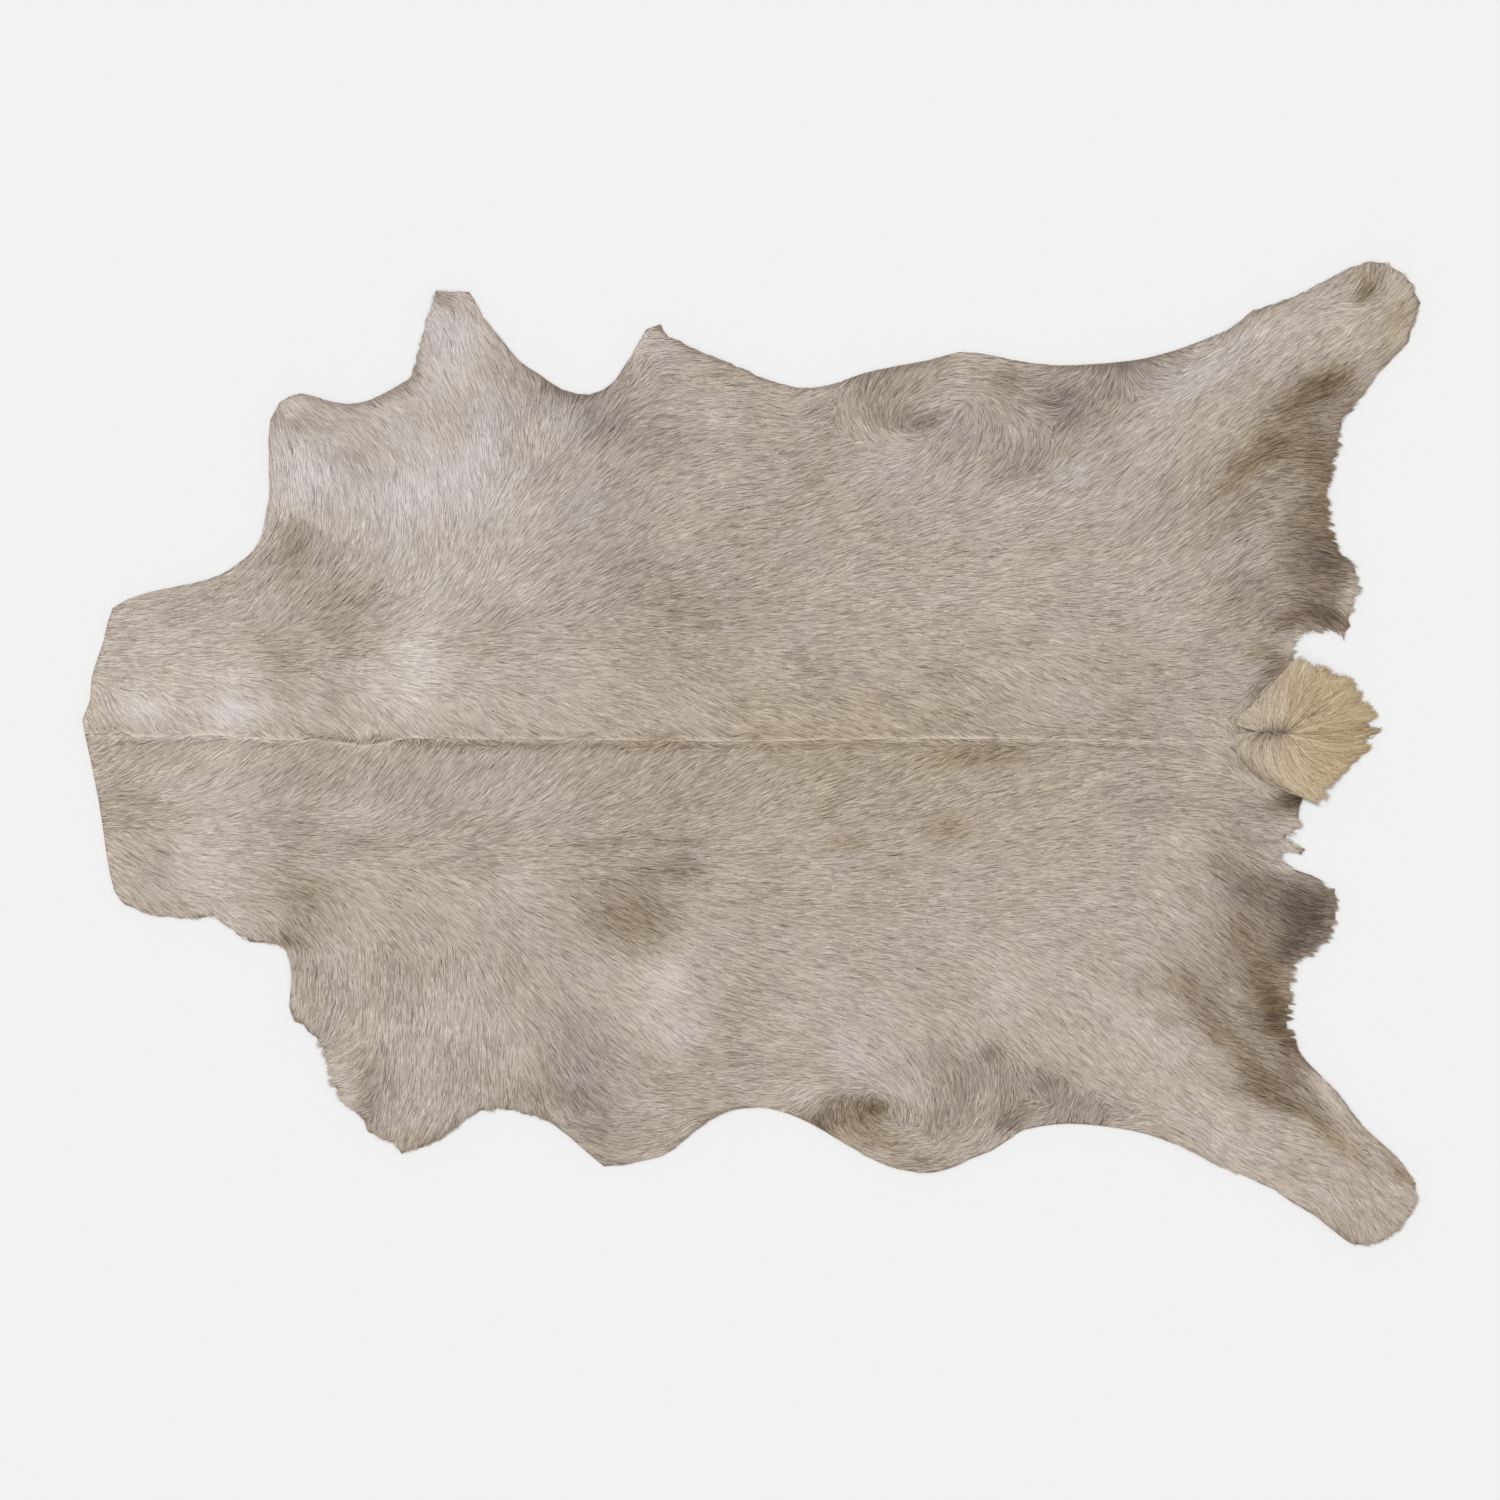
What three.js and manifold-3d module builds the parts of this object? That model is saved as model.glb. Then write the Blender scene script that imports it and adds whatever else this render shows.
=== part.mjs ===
// A goatskin with its hair on, laid out flat: one hide of skin and short lying hair, and the fan of
// longer pale hair that spreads from the tail over the hide's hind edge.
// Millimetres, +Z up. The neck points to -X and the tail to +X. The hide lies on its flat underside
// at z = 0, and the origin is at the middle of the whole skin's box, on that underside.
//
// "along" is measured from the neck's end towards the tail, "across" from the spine line, positive
// towards +Y. Both are in millimetres and become x and y when the group is centred at the end.

import * as THREE from "three";
import { mergeVertices } from "three/addons/utils/BufferGeometryUtils.js";
import Module from "manifold-3d";

const wasm = await Module();
wasm.setup();

// Driving dimensions
const LENGTH = 1004; // neck's end to the tips of the hind legs
const HALF_WIDTH = 380; // spine line to the farther hind leg
const SKIN = 1.2; // tanned skin where it is cut
const PILE = 2.9; // hair lying on the skin
const THINNEST = 2.4; // skin and hair in the deepest whorl
const THICKEST = 6.2; // skin and hair on the fullest lock
const EDGE_WIDTH = 8; // band at the rim in which the hair thins out down to the skin
const EDGE_RISE = 6; // climb of that band, higher than any hair
const EDGE_SLACK = 0.98; // where bands cross, points nearer the rim than this share of it are left out
const GAP = 0.3; // free space between the hide and the tail's hair

// Relief of the lying hair
const GRID_STEP = 20; // distance between relief points over the body
const SPINE_STEP = 5; // distance between relief rows at the spine
const STEP_GROWTH = 2.5; // each row away from the spine is this much wider
const SPINE_RISE = 1.3; // ridge of hair where both sides meet
const SPINE_SPREAD = 6;
const SPINE_FADE = 90; // length in which the ridge dies out before the tail
const SPINE_WANDER = [{ sway: 2, stretch: 61 }, { sway: 1, stretch: 23 }]; // how it strays sideways
const UNEVEN_RISE = 0.45; // slow waves of the pile
const UNEVEN_ALONG = 43;
const UNEVEN_ACROSS = 31;
const UNEVEN_SHIFT = 1; // radians
const SPARE_COLUMNS = 1; // the relief goes on past both ends of the hide by this many steps

// Tail
const TAIL = { along: 894, across: 6 }; // middle of the dark parting where the fan starts
const TAIL_SEAT = 3.4; // even height of the hide under the fan
const TAIL_FLAT = 74; // radius of that even place
const TAIL_BLEND = 30; // ring around it that runs back into the relief
const HEAD = { long: 15, wide: 8, rise: 4 }; // half sizes and height of the root of the tail
const HEAD_SIDES = 16;
const HEAD_PROFILE = [
  { radius: 0, height: 0 },
  { radius: 1, height: 0 },
  { radius: 0.9, height: 0.45 },
  { radius: 0.6, height: 0.8 },
  { radius: 0, height: 1 },
];
const LOCK_PITCH = 9; // degrees between neighbouring locks
const LOCK_FULL = 4.6; // height of a lock at its fullest
const LOCK_LEAST_FULL = 0.75; // the flattest lock's share of that height
const LOCK_SHORTEST = 0.94; // the shortest lock's share of the fan's reach
const LOCK_CREST = 0.4; // width of a lock's crest as a share of its base
const LOCK_TIP = 0.9; // height of a lock at its tip
const LOCK_TIP_WIDTH = 0.36; // share of the pitch that a lock's blunt tip fills
const LOCK_BEND = 3; // degrees that a lock's tip may swing aside
const DROOP_START = 6; // a lock leaves the hide's edge this far before it sinks
const DROOP = 0.12; // and then sinks this much for each millimetre
const FAN_HUB = 5; // radius at which the locks start inside the root

// How the rim is finished: pitch of its points, and how far the locks of hair reach past the skin
const CUT = { pitch: 11, reach: 0, lean: 0 };
const DOWNY = { pitch: 7, reach: 1.4, lean: 0.3 };
const SHAGGY = { pitch: 5, reach: 3.6, lean: 0.8 };
const LEAST_REACH = 0.5; // the shortest rim lock's share of the reach
const NOTCH = 0.3; // how far the deepest notch between two lies back, as a share of the reach

const SEED = 11; // start of the random numbers that make locks uneven
const WELD = 1e-4; // points nearer than this are one point
const HAIR_ROUGHNESS = 0.75;
const HIDE_COLOR = 0xb9ada0;
const TAIL_COLOR = 0xc9b48f;

// The rim, clockwise as seen from above. Each point is [along, across].
const RIM = [
  {
    stretch: "neck, upper edge",
    edge: CUT,
    points: [
      [23, 100], [33, 106], [51, 112], [81, 118], [102, 124], [118, 134], [128, 142], [134, 152],
      [137, 166], [140, 181], [140, 214], [141, 241], [148, 254], [164, 261], [182, 256], [199, 253],
      [216, 256], [237, 267],
    ],
  },
  {
    stretch: "front of the upper foreleg",
    edge: DOWNY,
    points: [[246, 273], [250, 284], [253, 297], [257, 316], [263, 333]],
  },
  {
    stretch: "upper foreleg",
    edge: CUT,
    points: [
      [264, 340], [273, 338], [291, 338], [298, 322], [314, 302], [328, 285], [342, 276], [360, 264],
      [382, 260], [396, 266], [406, 279], [416, 297], [423, 309],
    ],
  },
  {
    stretch: "upper elbow tip",
    edge: DOWNY,
    points: [[434, 313], [435, 307], [448, 300], [462, 293], [486, 283]],
  },
  {
    stretch: "upper flank",
    edge: CUT,
    points: [
      [512, 272], [538, 265], [560, 267], [586, 276], [614, 282], [636, 286], [658, 292], [674, 291],
      [698, 286], [728, 282], [760, 283], [796, 287], [822, 294], [846, 303], [862, 310],
    ],
  },
  {
    stretch: "upper hind leg",
    edge: DOWNY,
    points: [
      [878, 323], [896, 328], [915, 336], [945, 352], [964, 361], [977, 360], [986, 356], [995, 348],
      [1000, 338], [1004, 329], [1000, 316], [994, 300], [982, 287], [968, 271], [960, 258],
    ],
  },
  {
    stretch: "upper rump",
    edge: SHAGGY,
    points: [
      [947, 241], [944, 226], [940, 207], [936, 188], [937, 170], [939, 155], [946, 141], [958, 130],
      [960, 121], [957, 108], [953, 97], [951, 86], [947, 76], [938, 82], [925, 81], [914, 80],
    ],
  },
  {
    stretch: "root of the tail, under the fan",
    edge: CUT,
    points: [[908, 76], [912, 65], [919, 46], [925, 24], [927, 6], [925, -12], [919, -33], [913, -50]],
  },
  {
    stretch: "lower rump",
    edge: SHAGGY,
    points: [
      [911, -57], [916, -64], [907, -73], [914, -78], [922, -86], [908, -84], [899, -85], [902, -92],
      [911, -98], [922, -102], [930, -106], [939, -111], [942, -122], [942, -133], [938, -146],
      [933, -154], [921, -161], [911, -168], [909, -179], [910, -193], [907, -208], [908, -218],
    ],
  },
  {
    stretch: "lower hind leg, inner edge",
    edge: CUT,
    points: [
      [911, -226], [913, -233], [924, -246], [940, -261], [950, -275], [962, -290], [977, -303],
      [988, -313],
    ],
  },
  {
    stretch: "lower hind leg, end",
    edge: DOWNY,
    points: [
      [996, -323], [1000, -332], [1002, -344], [999, -352], [992, -362], [982, -372], [969, -378],
      [953, -378],
    ],
  },
  {
    stretch: "lower hind leg, outer edge",
    edge: CUT,
    points: [
      [945, -373], [930, -360], [916, -351], [904, -344], [890, -334], [870, -327], [854, -320],
      [824, -304],
    ],
  },
  {
    stretch: "lower flank",
    edge: CUT,
    points: [
      [799, -295], [775, -290], [739, -287], [718, -289], [704, -292], [693, -300], [682, -307],
      [664, -314], [649, -321], [628, -324], [612, -321], [593, -314], [577, -305], [559, -294],
      [538, -283], [521, -277], [502, -274], [486, -277], [470, -285], [457, -294], [445, -305],
      [433, -312],
    ],
  },
  {
    stretch: "lower elbow",
    edge: CUT,
    points: [[418, -315], [405, -318], [391, -319], [379, -309], [362, -294], [351, -286]],
  },
  {
    stretch: "back of the lower foreleg",
    edge: DOWNY,
    points: [[331, -280], [319, -277], [299, -279], [286, -286], [269, -298], [255, -305]],
  },
  {
    stretch: "lower foreleg",
    edge: DOWNY,
    points: [
      [239, -310], [233, -303], [222, -298], [214, -293], [210, -285], [200, -275], [191, -269],
      [185, -260], [183, -248], [179, -235], [173, -223], [165, -214],
    ],
  },
  {
    stretch: "lower shoulder",
    edge: CUT,
    points: [[158, -211], [155, -199], [157, -180], [156, -165], [152, -155]],
  },
  {
    stretch: "neck, lower edge",
    edge: DOWNY,
    points: [
      [142, -152], [133, -153], [118, -147], [108, -136], [100, -134], [74, -133], [51, -130],
      [28, -119],
    ],
  },
  {
    stretch: "neck, cut end",
    edge: CUT,
    points: [[24, -112], [19, -89], [13, -49], [7, -18], [2, 4], [0, 16], [6, 31], [7, 47], [16, 75]],
  },
];

// Swells and hollows of the hair: centre, half sizes, turn in degrees from the spine, and rise
const RELIEF = [
  { form: "upper flank whorl", along: 610, across: 240, long: 30, wide: 17, turn: 5, rise: -1.2 },
  { form: "hair combed over it", along: 668, across: 254, long: 30, wide: 24, turn: 70, rise: 0.8 },
  { form: "sweep into the leg", along: 735, across: 232, long: 34, wide: 18, turn: 60, rise: 0.9 },
  { form: "upper leg whorl", along: 960, across: 333, long: 15, wide: 10, turn: 40, rise: -0.9 },
  { form: "upper rump", along: 912, across: 150, long: 34, wide: 80, turn: 0, rise: 1.1 },
  { form: "lower rump", along: 912, across: -130, long: 32, wide: 55, turn: 0, rise: 1.1 },
  { form: "lower flank whorl", along: 592, across: -277, long: 30, wide: 15, turn: 0, rise: -1.2 },
  { form: "hair round it", along: 640, across: -300, long: 34, wide: 14, turn: 10, rise: 0.7 },
  { form: "lower flank parting", along: 668, across: -242, long: 26, wide: 16, turn: 0, rise: -0.8 },
  { form: "sweep round the flank", along: 740, across: -262, long: 40, wide: 14, turn: 0, rise: 0.9 },
  { form: "upper shoulder", along: 270, across: 235, long: 55, wide: 60, turn: 0, rise: 0.7 },
  { form: "upper elbow parting", along: 372, across: 240, long: 30, wide: 14, turn: 60, rise: -0.6 },
  { form: "lower shoulder", along: 255, across: -200, long: 60, wide: 60, turn: 0, rise: 0.7 },
  { form: "lower elbow parting", along: 352, across: -255, long: 34, wide: 14, turn: -60, rise: -0.6 },
  { form: "foreleg parting", along: 214, across: -268, long: 26, wide: 9, turn: 60, rise: -0.8 },
  { form: "soft crease", along: 425, across: -95, long: 90, wide: 16, turn: 24, rise: -0.6 },
  { form: "neck", along: 70, across: 40, long: 60, wide: 30, turn: 0, rise: -0.4 },
];

// Length of the fan's hair by bearing, in degrees anticlockwise from the tail's direction
const FAN = [
  { bearing: 0, reach: 82 },
  { bearing: 12, reach: 83 },
  { bearing: 22, reach: 78 },
  { bearing: 33, reach: 76 },
  { bearing: 43, reach: 71 },
  { bearing: 53, reach: 66 },
  { bearing: 69, reach: 66 },
  { bearing: 90, reach: 48 },
  { bearing: 105, reach: 36 },
  { bearing: 130, reach: 31 },
  { bearing: 180, reach: 33 },
  { bearing: 212, reach: 36 },
  { bearing: 240, reach: 40 },
  { bearing: 262, reach: 44 },
  { bearing: 280, reach: 52 },
  { bearing: 297, reach: 62 },
  { bearing: 305, reach: 69 },
  { bearing: 313, reach: 65 },
  { bearing: 325, reach: 64 },
  { bearing: 340, reach: 67 },
  { bearing: 350, reach: 78 },
  { bearing: 360, reach: 82 },
];

// A lock from root to tip: share of its length, of its width and of its full height
const LOCK_FORM = [
  { run: 0, width: 0.9, height: 0.6 },
  { run: 0.3, width: 1.2, height: 0.9 },
  { run: 0.6, width: 0.92, height: 1 },
  { run: 0.85, width: 0.74, height: 0.6 },
];

// Repeatable numbers from 0 to 1
function randomSource(seed) {
  let state = seed;
  return () => {
    state = (Math.imul(state, 1664525) + 1013904223) >>> 0;
    return state / 2 ** 32;
  };
}

const random = randomSource(SEED);

function randomFrom(least, most) {
  return least + (most - least) * random();
}

// Closed geometry to a solid, and back
function toSolid(geometry) {
  const bare = geometry.clone();
  bare.deleteAttribute("normal");
  bare.deleteAttribute("uv");
  const merged = mergeVertices(bare, WELD);
  return new wasm.Manifold(
    new wasm.Mesh({
      numProp: 3,
      vertProperties: new Float32Array(merged.attributes.position.array),
      triVerts: new Uint32Array(merged.index.array),
    }),
  );
}

function toGeometry(solid) {
  const mesh = solid.getMesh();
  const geometry = new THREE.BufferGeometry();
  geometry.setAttribute("position", new THREE.BufferAttribute(mesh.vertProperties, 3));
  geometry.setIndex(new THREE.BufferAttribute(mesh.triVerts, 1));
  geometry.computeVertexNormals();
  return geometry;
}

function meshGeometry(vertices, triangles) {
  const geometry = new THREE.BufferGeometry();
  geometry.setAttribute("position", new THREE.Float32BufferAttribute(vertices.flat(), 3));
  geometry.setIndex(triangles.flat());
  return geometry;
}

// The rim's points in order, anticlockwise: "skin" on the smooth line, "hair" with its locks
function rimPoints() {
  const marks = RIM.flatMap(({ edge, points }) => points.map((point) => ({ edge, point })));
  const nodes = marks.map(({ point }) => new THREE.Vector3(point[0], point[1], 0));
  const line = new THREE.CatmullRomCurve3(nodes, true, "centripetal");
  const rim = [];
  marks.forEach(({ edge }, i) => {
    const span = nodes[i].distanceTo(nodes[(i + 1) % nodes.length]);
    const steps = Math.max(1, Math.round(span / edge.pitch));
    for (let k = 0; k < steps; k += 1) {
      const place = (i + k / steps) / nodes.length;
      rim.push(rimPoint(line.getPoint(place), line.getTangent(place), edge, rim.length));
    }
  });
  return rim.reverse();
}

// Every second point of a hairy stretch is the tip of a lock, the others lie back between two
function rimPoint(skin, ahead, edge, count) {
  const outward = new THREE.Vector3(-ahead.y, ahead.x, 0);
  const isTip = count % 2 === 0;
  const push = edge.reach * (isTip ? randomFrom(LEAST_REACH, 1) : randomFrom(0, -NOTCH));
  const slide = isTip ? edge.lean * edge.reach * randomFrom(-0.5, 0.5) : 0;
  const hair = skin.clone().addScaledVector(outward, push).addScaledVector(ahead, slide);
  return { skin, hair };
}

function distanceToRim(point, ring) {
  const foot = new THREE.Vector3();
  const edge = new THREE.Line3();
  let nearest = Infinity;
  ring.forEach((start, i) => {
    edge.set(start, ring[(i + 1) % ring.length]).closestPointToPoint(point, true, foot);
    nearest = Math.min(nearest, foot.distanceTo(point));
  });
  return nearest;
}

// For each rim point, the point on the band's inner side that it joins, left out where bands cross
function innerRing(ring) {
  const kept = [];
  const joins = ring.map((point, i) => {
    const ahead = ring[(i + 1) % ring.length].clone().sub(ring.at(i - 1)).normalize();
    const inner = new THREE.Vector3(point.x - ahead.y * EDGE_WIDTH, point.y + ahead.x * EDGE_WIDTH, 0);
    if (distanceToRim(inner, ring) > EDGE_SLACK * EDGE_WIDTH) {
      kept.push(inner);
    }
    return kept.length - 1;
  });
  return { kept, joins: joins.map((join) => (join < 0 ? kept.length - 1 : join)) };
}

// The hide's rim as a solid: flat below, the skin's edge, and the band that climbs inwards
function rimBlank(rim) {
  const { kept, joins } = innerRing(rim.map(({ skin }) => skin));
  const count = rim.length;
  const flat = rim.map(({ hair }) => new THREE.Vector2(hair.x, hair.y));
  const top = kept.map(({ x, y }) => new THREE.Vector2(x, y));
  const vertices = [
    ...flat.map(({ x, y }) => [x, y, 0]),
    ...flat.map(({ x, y }) => [x, y, SKIN]),
    ...top.map(({ x, y }) => [x, y, SKIN + EDGE_RISE]),
  ];
  const triangles = THREE.ShapeUtils.triangulateShape(flat, []).map(([a, b, c]) => [a, c, b]);
  THREE.ShapeUtils.triangulateShape(top, []).forEach((corners) => {
    triangles.push(corners.map((corner) => corner + 2 * count));
  });
  for (let i = 0; i < count; i += 1) {
    const next = (i + 1) % count;
    const inner = 2 * count + joins[i];
    const innerNext = 2 * count + joins[next];
    triangles.push([i, next, next + count], [i, next + count, i + count]);
    triangles.push([i + count, next + count, innerNext]);
    if (inner !== innerNext) {
      triangles.push([i + count, innerNext, inner]);
    }
  }
  return toSolid(meshGeometry(vertices, triangles));
}

// A soft hump: 1 at its centre, fading to nothing past its half sizes
function hump(u, v) {
  return Math.exp(-(u * u + v * v));
}

function reliefForm({ along, across, long, wide, turn, rise }, point) {
  const angle = THREE.MathUtils.degToRad(turn);
  const dx = point.along - along;
  const dy = point.across - across;
  const u = (dx * Math.cos(angle) + dy * Math.sin(angle)) / long;
  const v = (dy * Math.cos(angle) - dx * Math.sin(angle)) / wide;
  return rise * hump(u, v);
}

function spineRidge({ along, across }) {
  const wander = SPINE_WANDER.reduce((sum, { sway, stretch }) => sum + sway * Math.sin(along / stretch), 0);
  const fade = THREE.MathUtils.smoothstep(TAIL.along - TAIL_FLAT - along, 0, SPINE_FADE);
  return SPINE_RISE * fade * hump(0, (across - wander) / SPINE_SPREAD);
}

// Height of the lying hair over the floor
function pileHeight(point) {
  const wave = Math.sin(point.along / UNEVEN_ALONG + UNEVEN_SHIFT) * Math.sin(point.across / UNEVEN_ACROSS);
  const forms = RELIEF.reduce((sum, form) => sum + reliefForm(form, point), 0);
  const free = SKIN + PILE + forms + spineRidge(point) + UNEVEN_RISE * wave;
  const height = THREE.MathUtils.clamp(free, THINNEST, THICKEST);
  const away = Math.hypot(point.along - TAIL.along, point.across - TAIL.across);
  const seat = 1 - THREE.MathUtils.smoothstep(away, TAIL_FLAT, TAIL_FLAT + TAIL_BLEND);
  return THREE.MathUtils.lerp(height, TAIL_SEAT, seat);
}

// Rows of relief points, close together at the spine and wider towards the legs
function reliefRows() {
  const side = [];
  let across = SPINE_STEP;
  let step = SPINE_STEP;
  while (across < HALF_WIDTH + GRID_STEP) {
    side.push(across);
    step = Math.min(step + STEP_GROWTH, GRID_STEP);
    across += step;
  }
  return [...side.map((distance) => -distance).reverse(), 0, ...side];
}

// A block whose top is the hair's relief
function reliefBlock() {
  const rows = reliefRows();
  const columns = Math.ceil(LENGTH / GRID_STEP) + 1 + 2 * SPARE_COLUMNS;
  const count = rows.length * columns;
  const grid = [];
  for (let i = 0; i < columns; i += 1) {
    rows.forEach((across) => grid.push({ along: (i - SPARE_COLUMNS) * GRID_STEP, across }));
  }
  const vertices = [
    ...grid.map((point) => [point.along, point.across, pileHeight(point)]),
    ...grid.map((point) => [point.along, point.across, -SKIN]),
  ];
  const triangles = [];
  const quad = (a, b, c, d) => triangles.push([a, b, c], [a, c, d]);
  for (let i = 0; i < columns - 1; i += 1) {
    for (let j = 0; j < rows.length - 1; j += 1) {
      const near = i * rows.length + j;
      const far = near + rows.length;
      quad(near, far, far + 1, near + 1);
      quad(near + count, near + 1 + count, far + 1 + count, far + count);
    }
  }
  for (let i = 0; i < columns - 1; i += 1) {
    const low = i * rows.length;
    const high = low + rows.length - 1;
    quad(low, low + count, low + rows.length + count, low + rows.length);
    quad(high, high + rows.length, high + rows.length + count, high + count);
  }
  for (let j = 0; j < rows.length - 1; j += 1) {
    const last = (columns - 1) * rows.length + j;
    quad(j, j + 1, j + 1 + count, j + count);
    quad(last, last + count, last + 1 + count, last + 1);
  }
  return toSolid(meshGeometry(vertices, triangles));
}

function hideGeometry(rim) {
  return toGeometry(rimBlank(rim).intersect(reliefBlock()));
}

// Whether a point lies on the hide's skin, by counting the rim lines on one side of it
function isOnHide(point, ring) {
  let inside = false;
  ring.forEach((start, i) => {
    const end = ring[(i + 1) % ring.length];
    const spans = start.y > point.y !== end.y > point.y;
    const crossing = start.x + ((end.x - start.x) * (point.y - start.y)) / (end.y - start.y);
    if (spans && point.x < crossing) {
      inside = !inside;
    }
  });
  return inside;
}

// Underside of the fan's hair: level on the hide, then sinking to the floor past its edge
function fanFloor(point, ring) {
  const level = TAIL_SEAT + GAP;
  if (isOnHide(point, ring)) {
    return level;
  }
  const past = Math.max(0, distanceToRim(point, ring) - DROOP_START);
  return Math.max(0, level - DROOP * past);
}

function fanReach(bearing) {
  const after = FAN.findIndex((row) => row.bearing > bearing);
  const low = FAN[after - 1];
  const high = FAN[after];
  const share = (bearing - low.bearing) / (high.bearing - low.bearing);
  return THREE.MathUtils.lerp(low.reach, high.reach, share);
}

// Four corners of a lock's section, anticlockwise as seen from its tip
function lockSection(middle, bearing, width, height, ring) {
  const floor = fanFloor(middle, ring);
  const side = new THREE.Vector3(-Math.sin(bearing), Math.cos(bearing), 0).multiplyScalar(width / 2);
  const left = middle.clone().sub(side);
  const right = middle.clone().add(side);
  const crestLeft = middle.clone().addScaledVector(side, -LOCK_CREST);
  const crestRight = middle.clone().addScaledVector(side, LOCK_CREST);
  return [
    [left.x, left.y, floor],
    [right.x, right.y, floor],
    [crestRight.x, crestRight.y, floor + height],
    [crestLeft.x, crestLeft.y, floor + height],
  ];
}

// A four-sided lock of hair lying outwards from the tail's root
function lockSolid(degrees, ring) {
  const bearing = THREE.MathUtils.degToRad(degrees);
  const bend = THREE.MathUtils.degToRad(randomFrom(-LOCK_BEND, LOCK_BEND));
  const reach = fanReach(degrees) * randomFrom(LOCK_SHORTEST, 1);
  const pitch = THREE.MathUtils.degToRad(LOCK_PITCH);
  const full = LOCK_FULL * randomFrom(LOCK_LEAST_FULL, 1);
  const at = (run) => {
    const turned = bearing + bend * run * run;
    const radius = FAN_HUB + (reach - FAN_HUB) * run;
    const x = TAIL.along + radius * Math.cos(turned);
    const y = TAIL.across + radius * Math.sin(turned);
    return { turned, radius, middle: new THREE.Vector3(x, y, 0) };
  };
  const sections = LOCK_FORM.map(({ run, width, height }) => {
    const { turned, radius, middle } = at(run);
    return lockSection(middle, turned, width * radius * pitch, height * full, ring);
  });
  const tip = at(1);
  const tipWidth = LOCK_TIP_WIDTH * tip.radius * pitch;
  sections.push(lockSection(tip.middle, tip.turned, tipWidth, LOCK_TIP, ring));
  return toSolid(loft(sections));
}

// Sections joined one after the other into a closed body
function loft(sections) {
  const sides = sections[0].length;
  const last = (sections.length - 1) * sides;
  const triangles = [];
  for (let i = 2; i < sides; i += 1) {
    triangles.push([0, i, i - 1], [last, last + i - 1, last + i]);
  }
  for (let start = 0; start < last; start += sides) {
    for (let j = 0; j < sides; j += 1) {
      const next = (j + 1) % sides;
      triangles.push([start + j, start + next, start + next + sides]);
      triangles.push([start + j, start + next + sides, start + j + sides]);
    }
  }
  return meshGeometry(sections.flat(), triangles);
}

// The fleshy root of the tail, a low flat-bottomed dome under the parting
function tailHead() {
  const profile = HEAD_PROFILE.map(({ radius, height }) => new THREE.Vector2(radius, height));
  const dome = new THREE.LatheGeometry(profile, HEAD_SIDES);
  dome.rotateX(Math.PI / 2);
  dome.scale(HEAD.long, HEAD.wide, HEAD.rise);
  dome.translate(TAIL.along, TAIL.across, TAIL_SEAT + GAP);
  return toSolid(dome);
}

function tailGeometry(rim) {
  const ring = rim.map(({ skin }) => skin);
  let fan = tailHead();
  for (let degrees = 0; degrees < 360; degrees += LOCK_PITCH) {
    fan = fan.add(lockSolid(degrees, ring));
  }
  return toGeometry(fan);
}

function hairMaterial(color) {
  return new THREE.MeshStandardMaterial({ color, roughness: HAIR_ROUGHNESS, metalness: 0 });
}

const rim = rimPoints();
const hide = new THREE.Mesh(hideGeometry(rim), hairMaterial(HIDE_COLOR));
hide.name = "hide";
const tailTuft = new THREE.Mesh(tailGeometry(rim), hairMaterial(TAIL_COLOR));
tailTuft.name = "tail_tuft";

const goatskin = new THREE.Group();
goatskin.add(hide, tailTuft);
const box = new THREE.Box3().setFromObject(goatskin);
const middle = box.getCenter(new THREE.Vector3());
goatskin.position.set(-middle.x, -middle.y, 0);

export default goatskin;
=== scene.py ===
"""A goatskin laid out flat: the tanned skin, its short lying hair, and the fan of pale tail hair.

The hair is made of single flat strands. Each lies along the lay of the coat, which the LAY table gives
place by place, and takes its tone from the PATCHES table. All tables were filled in one by one.
Sizes are millimetres in the hide's own plan: "along" runs from the neck's end to the tail, "across"
from the spine line to the side with the straighter hind leg. Meshes are turned into metres at the end.
"""

import math

import bpy
import numpy as np
from mathutils.geometry import delaunay_2d_cdt
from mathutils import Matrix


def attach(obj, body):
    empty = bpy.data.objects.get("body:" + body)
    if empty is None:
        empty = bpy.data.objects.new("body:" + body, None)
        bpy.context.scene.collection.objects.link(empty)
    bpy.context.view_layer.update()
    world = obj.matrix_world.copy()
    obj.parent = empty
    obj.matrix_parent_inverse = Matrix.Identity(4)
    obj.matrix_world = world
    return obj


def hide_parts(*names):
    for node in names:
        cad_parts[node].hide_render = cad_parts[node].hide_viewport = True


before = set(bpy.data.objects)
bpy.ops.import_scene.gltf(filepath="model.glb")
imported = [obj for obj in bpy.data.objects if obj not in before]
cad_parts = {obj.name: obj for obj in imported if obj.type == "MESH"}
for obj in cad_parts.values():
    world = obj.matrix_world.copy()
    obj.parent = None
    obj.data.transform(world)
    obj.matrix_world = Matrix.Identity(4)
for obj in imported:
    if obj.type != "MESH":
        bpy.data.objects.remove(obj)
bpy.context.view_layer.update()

# The hide's plan and its place in the frame
METRE = 0.001
PLAN_ZERO = np.array([-502.466, 8.959])  # where along = across = 0 lies in the frame
PLAN_LOW = np.array([-30.0, -410.0])  # corner of the grids that hold tone, lay and distance
PLAN_SIZE = np.array([1070.0, 800.0])
LAY_STEP = 4  # pitch of the grids of lay and raggedness
PATCH_STEP = 3  # pitch of the grids of tone, pile and distance

# Working limits
BATCH = 4000  # places measured against the rim at a time, to spare the memory
LEAST = 0.01  # keeps a division from zero
TINY = 1e-9  # does so for the length of an arrow
SAME_PLACE_DIGITS = 6  # corners of the CAD mesh that agree to so many digits are one
LEVEL_TOLERANCE = 1e-5
WELD = 1e-6
RANGE_MARGIN = 0.02  # tone and warmth stay this far inside 0 to 1
PALETTE_MARGIN = 0.01

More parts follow.
